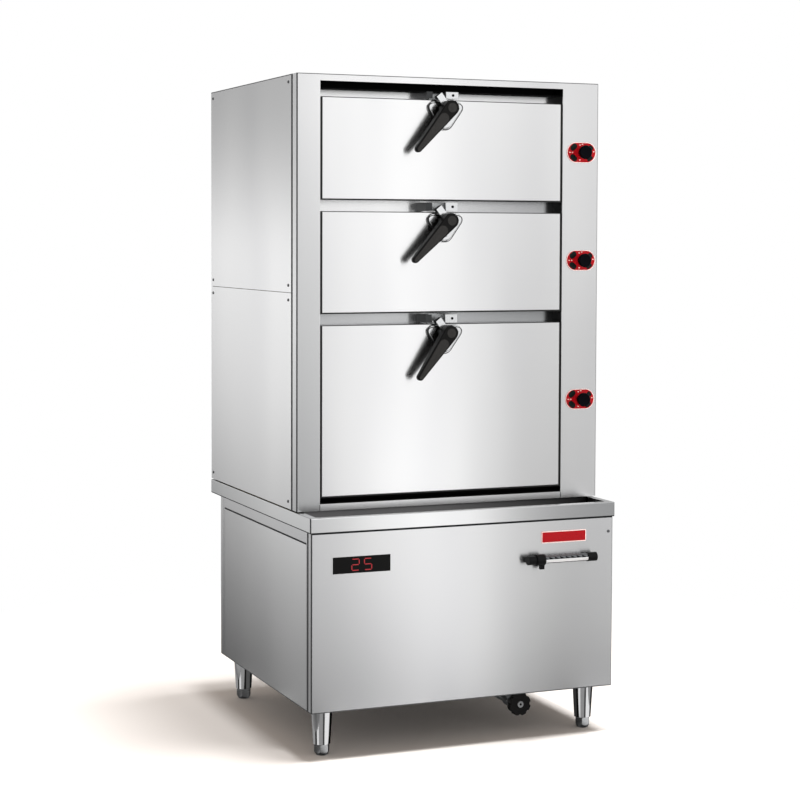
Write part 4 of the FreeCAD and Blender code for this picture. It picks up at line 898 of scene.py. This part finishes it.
def display_digits():
    """Two seven-stroke figures that show a plain number."""
    low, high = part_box("display_window")
    middle = (low + high) / 2
    tall, wide, stroke, off_middle = 30 * mm, 21 * mm, 2.6 * mm, 18 * mm
    lit = {"2": "abged", "5": "afgcd"}
    places = {
        "a": (0, tall / 2, 0),
        "g": (0, 0, 0),
        "d": (0, -tall / 2, 0),
        "f": (-wide / 2, tall / 4, 90),
        "b": (wide / 2, tall / 4, 90),
        "e": (-wide / 2, -tall / 4, 90),
        "c": (wide / 2, -tall / 4, 90),
    }
    strokes = []
    for figure, shift in (("2", -off_middle), ("5", off_middle)):
        for letter in lit[figure]:
            dx, dz, lean = places[letter]
            length = (tall / 2 if lean else wide) - stroke
            bar = disc(6, stroke / 2, (0, low.y, 0), math.radians(90))
            edit(bar)
            for side in (-1, 1):
                pick(bar, "verts", lambda vert: vert.co.x * side > 0.05 * mm)
                bpy.ops.transform.translate(value=(side * (length - stroke) / 2, 0, 0))
            finish_edit()
            thicken(bar, 0.2 * mm)
            place = Vector((middle.x + shift + dx, 0, middle.z + dz))
            bar.data.transform(Matrix.Translation(place) @ Matrix.Rotation(math.radians(lean), 4, "Y"))
            strokes.append(bar)
    hang(joined(strokes), "display_digits", segment_red, "cabinet")


panel_screws()
latch_screws()
lever_grips()
shaded_latch_plate_rims()
valve_knobs()
valve_dials()
nameplate_edge()
display_bezel()
display_digits()


# Stage, light and camera
def levels(tree, value, stops):
    """Light levels set along a value from 0 to 1."""
    brightest = max(level for _, level in stops)
    band = add(tree, "ShaderNodeValToRGB", {"Fac": value})
    ramp = band.color_ramp
    ramp.elements[0].position, ramp.elements[1].position = stops[0][0], stops[-1][0]
    for place, _ in stops[1:-1]:
        ramp.elements.new(place)
    for element, (_, level) in zip(ramp.elements, stops):
        element.color = (level / brightest, level / brightest, level / brightest, 1)
    return both_masks(tree, band.outputs["Color"], brightest)


def levels_round(tree, direction, stops):
    """Light levels set by the direction in degrees: 0 in front of the cabinet, 90 on its right."""
    split = add(tree, "ShaderNodeSeparateXYZ", {"Vector": direction})
    ahead = add(tree, "ShaderNodeMath", {0: split.outputs["Y"], 1: -1.0}, operation="MULTIPLY")
    sockets = {0: split.outputs["X"], 1: ahead.outputs[0]}
    angle = add(tree, "ShaderNodeMath", sockets, operation="ARCTAN2").outputs[0]
    sockets = {"Value": angle, "From Min": -math.pi, "From Max": math.pi}
    share = add(tree, "ShaderNodeMapRange", sockets).outputs[0]
    return levels(tree, share, [(degrees / 360 + 0.5, level) for degrees, level in stops])


# Direction in degrees and light level, of the softboxes and of the floor before the camera's
# mirror image in the front and in the left side, and of the floor round each leg
front_softboxes = (
    (-180, 0.6), (-80, 0.15), (-40, 0.8), (10, 0.85), (18, 0.9), (20.5, 1.05), (22.3, 1.5), (24, 1.35),
    (25.2, 0.75), (27, 0.62), (28.2, 1.12), (40, 1.0), (75, 0.9), (100, 0.1), (140, 0.6), (180, 0.6),
)
front_floor = (
    (-180, 0.4), (0, 0.7), (10, 0.7), (16, 0.55), (19.6, 0.62), (20.6, 0.76), (22, 1.43), (24, 1.43),
    (25.5, 0.68), (27, 0.36), (27.6, 0.62), (29, 0.68), (90, 0.5), (180, 0.4),
)
left_softboxes = (
    (-180, 0.5), (-166, 0.7), (-157, 1.45), (-145, 1.3), (-120, 0.35), (-80, 0.1), (0, 0.2), (60, 0.4),
    (100, 1.2), (150, 1.2), (180, 0.5),
)
left_floor = (
    (-180, 0.3), (-166, 0.5), (-163.5, 0.56), (-161.7, 0.93), (-160.6, 1.45), (-160.1, 2.6), (-159, 1.8),
    (-157.5, 1.0), (-150, 0.9), (-80, 0.3), (60, 0.3), (100, 0.9), (155, 0.9), (180, 0.3),
)
leg_bands = (
    (-180, 0.3), (-107, 0.35), (-104, 0.02), (-80, 0.02), (-76, 0.8), (-56, 0.8), (-50, 0.3), (-8, 0.3),
    (-4, 0.05), (12, 0.05), (17, 0.9), (72, 0.9), (77, 0.03), (160, 0.03), (165, 0.3), (180, 0.3),
)

# Nearness to the mirror image, from 0 at the horizon to 1 at 5 m, and share of the floor's light
front_fall = ((0.0, 0.92), (0.2, 0.88), (0.5, 0.95), (0.7, 0.8), (0.85, 0.44), (1.0, 0.26))
left_fall = ((0.0, 1.0), (0.1, 0.95), (0.28, 0.78), (0.46, 0.54), (0.65, 0.3), (0.8, 0.18), (1.0, 0.1))


def sheen_from(tree, mirror_image, fall, bands):
    """The light that the floor throws into the sheet, in bands that run away from the camera's
    mirror image in that sheet and fade towards it."""
    sockets = {0: position(tree), 1: mirror_image}
    offset = add(tree, "ShaderNodeVectorMath", sockets, operation="SUBTRACT").outputs[0]
    far = add(tree, "ShaderNodeVectorMath", {0: offset}, operation="LENGTH").outputs["Value"]
    nearness = add(tree, "ShaderNodeMath", {0: 5.0, 1: far}, operation="DIVIDE").outputs[0]
    return both_masks(tree, levels(tree, nearness, fall), levels_round(tree, offset, bands))


def floor_glow(tree):
    """What metal sees of the floor: bands for the front and for the left side, bands of their
    own round the four legs, and almost nothing under the base."""
    image_in_front, image_in_side, front_edge = (-2.16, 4.5, 0), (1.25, -5.16, 0), -0.43
    ahead = sheen_from(tree, image_in_front, front_fall, front_floor)
    beside = sheen_from(tree, image_in_side, left_fall, left_floor)
    behind_front = beyond(tree, coordinate(tree, "Y"), front_edge, 0.02)
    open_floor = add(tree, "ShaderNodeMix", {0: behind_front, 2: ahead, 3: beside}).outputs[0]
    half_x, half_y, front_right_leg = 397 * mm, 343 * mm, (397 * mm, -361 * mm, 0)
    sockets = {0: position(tree), 1: front_right_leg}
    from_leg = add(tree, "ShaderNodeVectorMath", sockets, operation="SUBTRACT").outputs[0]
    sockets = {0: from_leg, 1: (half_x, half_y, 1), 2: (-half_x, -half_y, -1)}
    nearest_leg = add(tree, "ShaderNodeVectorMath", sockets, operation="WRAP").outputs[0]
    by_legs = both_masks(tree, near(tree, "X", 0.0, 0.6), near(tree, "Y", 0.0, 0.7))
    round_legs = levels_round(tree, nearest_leg, leg_bands)
    banded = add(tree, "ShaderNodeMix", {0: by_legs, 2: open_floor, 3: round_legs}).outputs[0]
    under_base = both_masks(tree, near(tree, "X", 0.0, 0.43), near(tree, "Y", -0.02, 0.39))
    return both_masks(tree, banded, opposite(tree, both_masks(tree, under_base, 0.9)))


def stage_floor():
    """A pale studio floor that fades into the white backdrop."""
    floor = start(bpy.ops.mesh.primitive_plane_add, size=120, location=(0, 0, 0))
    floor.name = "studio_floor"
    made, tree, shader = new_material(
        "painted_studio_floor", Base_Color="f3eeea", Roughness=0.8, Specular_IOR_Level=0.1
    )
    far = add(tree, "ShaderNodeVectorMath", {0: position(tree)}, operation="LENGTH").outputs["Value"]
    fade_start, fade_end = 1.0, 2.1
    sockets = {"Value": far, "From Min": fade_start, "From Max": fade_end}
    fade = add(tree, "ShaderNodeMapRange", sockets).outputs[0]
    seen = add(tree, "ShaderNodeLightPath")
    share = both_masks(tree, seen.outputs["Is Camera Ray"], fade)
    white = add(tree, "ShaderNodeEmission", {"Color": srgb("ffffff"), "Strength": 1.0}).outputs[0]
    sockets = {"Color": srgb("ffffff"), "Strength": floor_glow(tree)}
    glow = add(tree, "ShaderNodeEmission", sockets).outputs[0]
    faded = add(tree, "ShaderNodeMixShader", {0: share, 1: shader.outputs[0], 2: white}).outputs[0]
    shown = add(tree, "ShaderNodeMixShader", {0: seen.outputs["Is Glossy Ray"], 1: faded, 2: glow})
    tree.links.new(shown.outputs[0], tree.nodes["Material Output"].inputs["Surface"])
    floor.data.materials.append(made)
    floor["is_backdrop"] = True


def aim(name, lamp, place, target, receivers):
    """Puts a lamp in the scene that lights only its receivers and leaves no spot in metal."""
    holder = bpy.data.objects.new(name, lamp)
    holder.location = place
    holder.rotation_euler = (Vector(target) - Vector(place)).to_track_quat("-Z", "Y").to_euler()
    holder.visible_glossy = False
    bpy.context.scene.collection.objects.link(holder)
    lit = bpy.data.collections.new(name + "_lights")
    for piece in receivers:
        lit.objects.link(piece)
    holder.light_linking.receiver_collection = lit


def cabinet_light(name, place, target, width, power):
    """A square softbox that lights the cabinet but not the floor."""
    lamp = bpy.data.lights.new(name, "AREA")
    lamp.shape = "RECTANGLE"
    lamp.size = lamp.size_y = width
    lamp.energy = power
    aim(name, lamp, place, target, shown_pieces())


def floor_sun(name, place, energy, width):
    """A high light that whitens the floor and leaves a shadow under the base."""
    lamp = bpy.data.lights.new(name, "SUN")
    lamp.energy = energy
    lamp.angle = math.radians(width)
    aim(name, lamp, place, (0, 0, 0), [bpy.data.objects["studio_floor"]])


def studio_world():
    """White to the camera, soft for plain surfaces, and softboxes in what metal reflects."""
    world = bpy.data.worlds.new("studio")
    world.use_nodes = True
    tree = world.node_tree
    seen = add(tree, "ShaderNodeLightPath")
    direction = add(tree, "ShaderNodeTexCoord").outputs["Generated"]
    split = add(tree, "ShaderNodeSeparateXYZ", {"Vector": direction})
    ahead = levels_round(tree, direction, front_softboxes)
    height_fall = levels(tree, split.outputs["Z"], ((0.0, 1.0), (0.02, 0.72), (0.06, 0.45), (1.0, 0.4)))
    beside = both_masks(tree, levels_round(tree, direction, left_softboxes), height_fall)
    behind = beyond(tree, split.outputs["Y"], 0.0, 0.1)
    light = add(tree, "ShaderNodeMix", {0: behind, 2: ahead, 3: beside}).outputs[0]
    shades = ((light, "ffffff"), (0.46, "fff4ea"), (1.0, "ffffff"))
    glow, soft, plain = [
        add(tree, "ShaderNodeBackground", {"Color": srgb(colour), "Strength": strength}).outputs[0]
        for strength, colour in shades
    ]
    unseen = add(tree, "ShaderNodeMixShader", {0: seen.outputs["Is Glossy Ray"], 1: soft, 2: glow})
    sockets = {0: seen.outputs["Is Camera Ray"], 1: unseen.outputs[0], 2: plain}
    shown = add(tree, "ShaderNodeMixShader", sockets)
    tree.links.new(shown.outputs[0], tree.nodes["World Output"].inputs["Surface"])
    bpy.context.scene.world = world


def photo_camera():
    """The photograph's view: from 1.4 m up, 22.5 degrees round to the cabinet's left. It looks
    a little down, and a lens shift brings the whole cabinet into the picture."""
    yaw, tilt, roll = math.radians(-22.504), math.radians(-2.475), math.radians(0.177)
    lens = bpy.data.cameras.new("photo_camera")
    lens.lens = 86.01
    lens.shift_y = -0.1
    holder = bpy.data.objects.new("photo_camera", lens)
    aimed = Matrix.Rotation(yaw, 4, "Z") @ Matrix.Rotation(math.pi / 2 + tilt, 4, "X")
    rolled = aimed @ Matrix.Rotation(roll, 4, "Z")
    holder.matrix_world = Matrix.Translation((-2.1615, -5.1643, 1.3969)) @ rolled
    bpy.context.scene.collection.objects.link(holder)
    bpy.context.scene.camera = holder


stage_floor()
studio_world()
cabinet_light("key", (3.6, -3.4, 2.2), (0, -0.3, 1.4), width=1.4, power=90)
cabinet_light("top_light", (-0.6, -1.5, 4.0), (0, -0.1, 1.2), width=2.0, power=60)
floor_sun("steep_sun", (0.1, -0.2, 4.0), energy=1.2, width=3)
floor_sun("wide_sun", (0.9, -0.25, 4.0), energy=2.6, width=17)
photo_camera()
bpy.context.scene.view_settings.view_transform = "Standard"
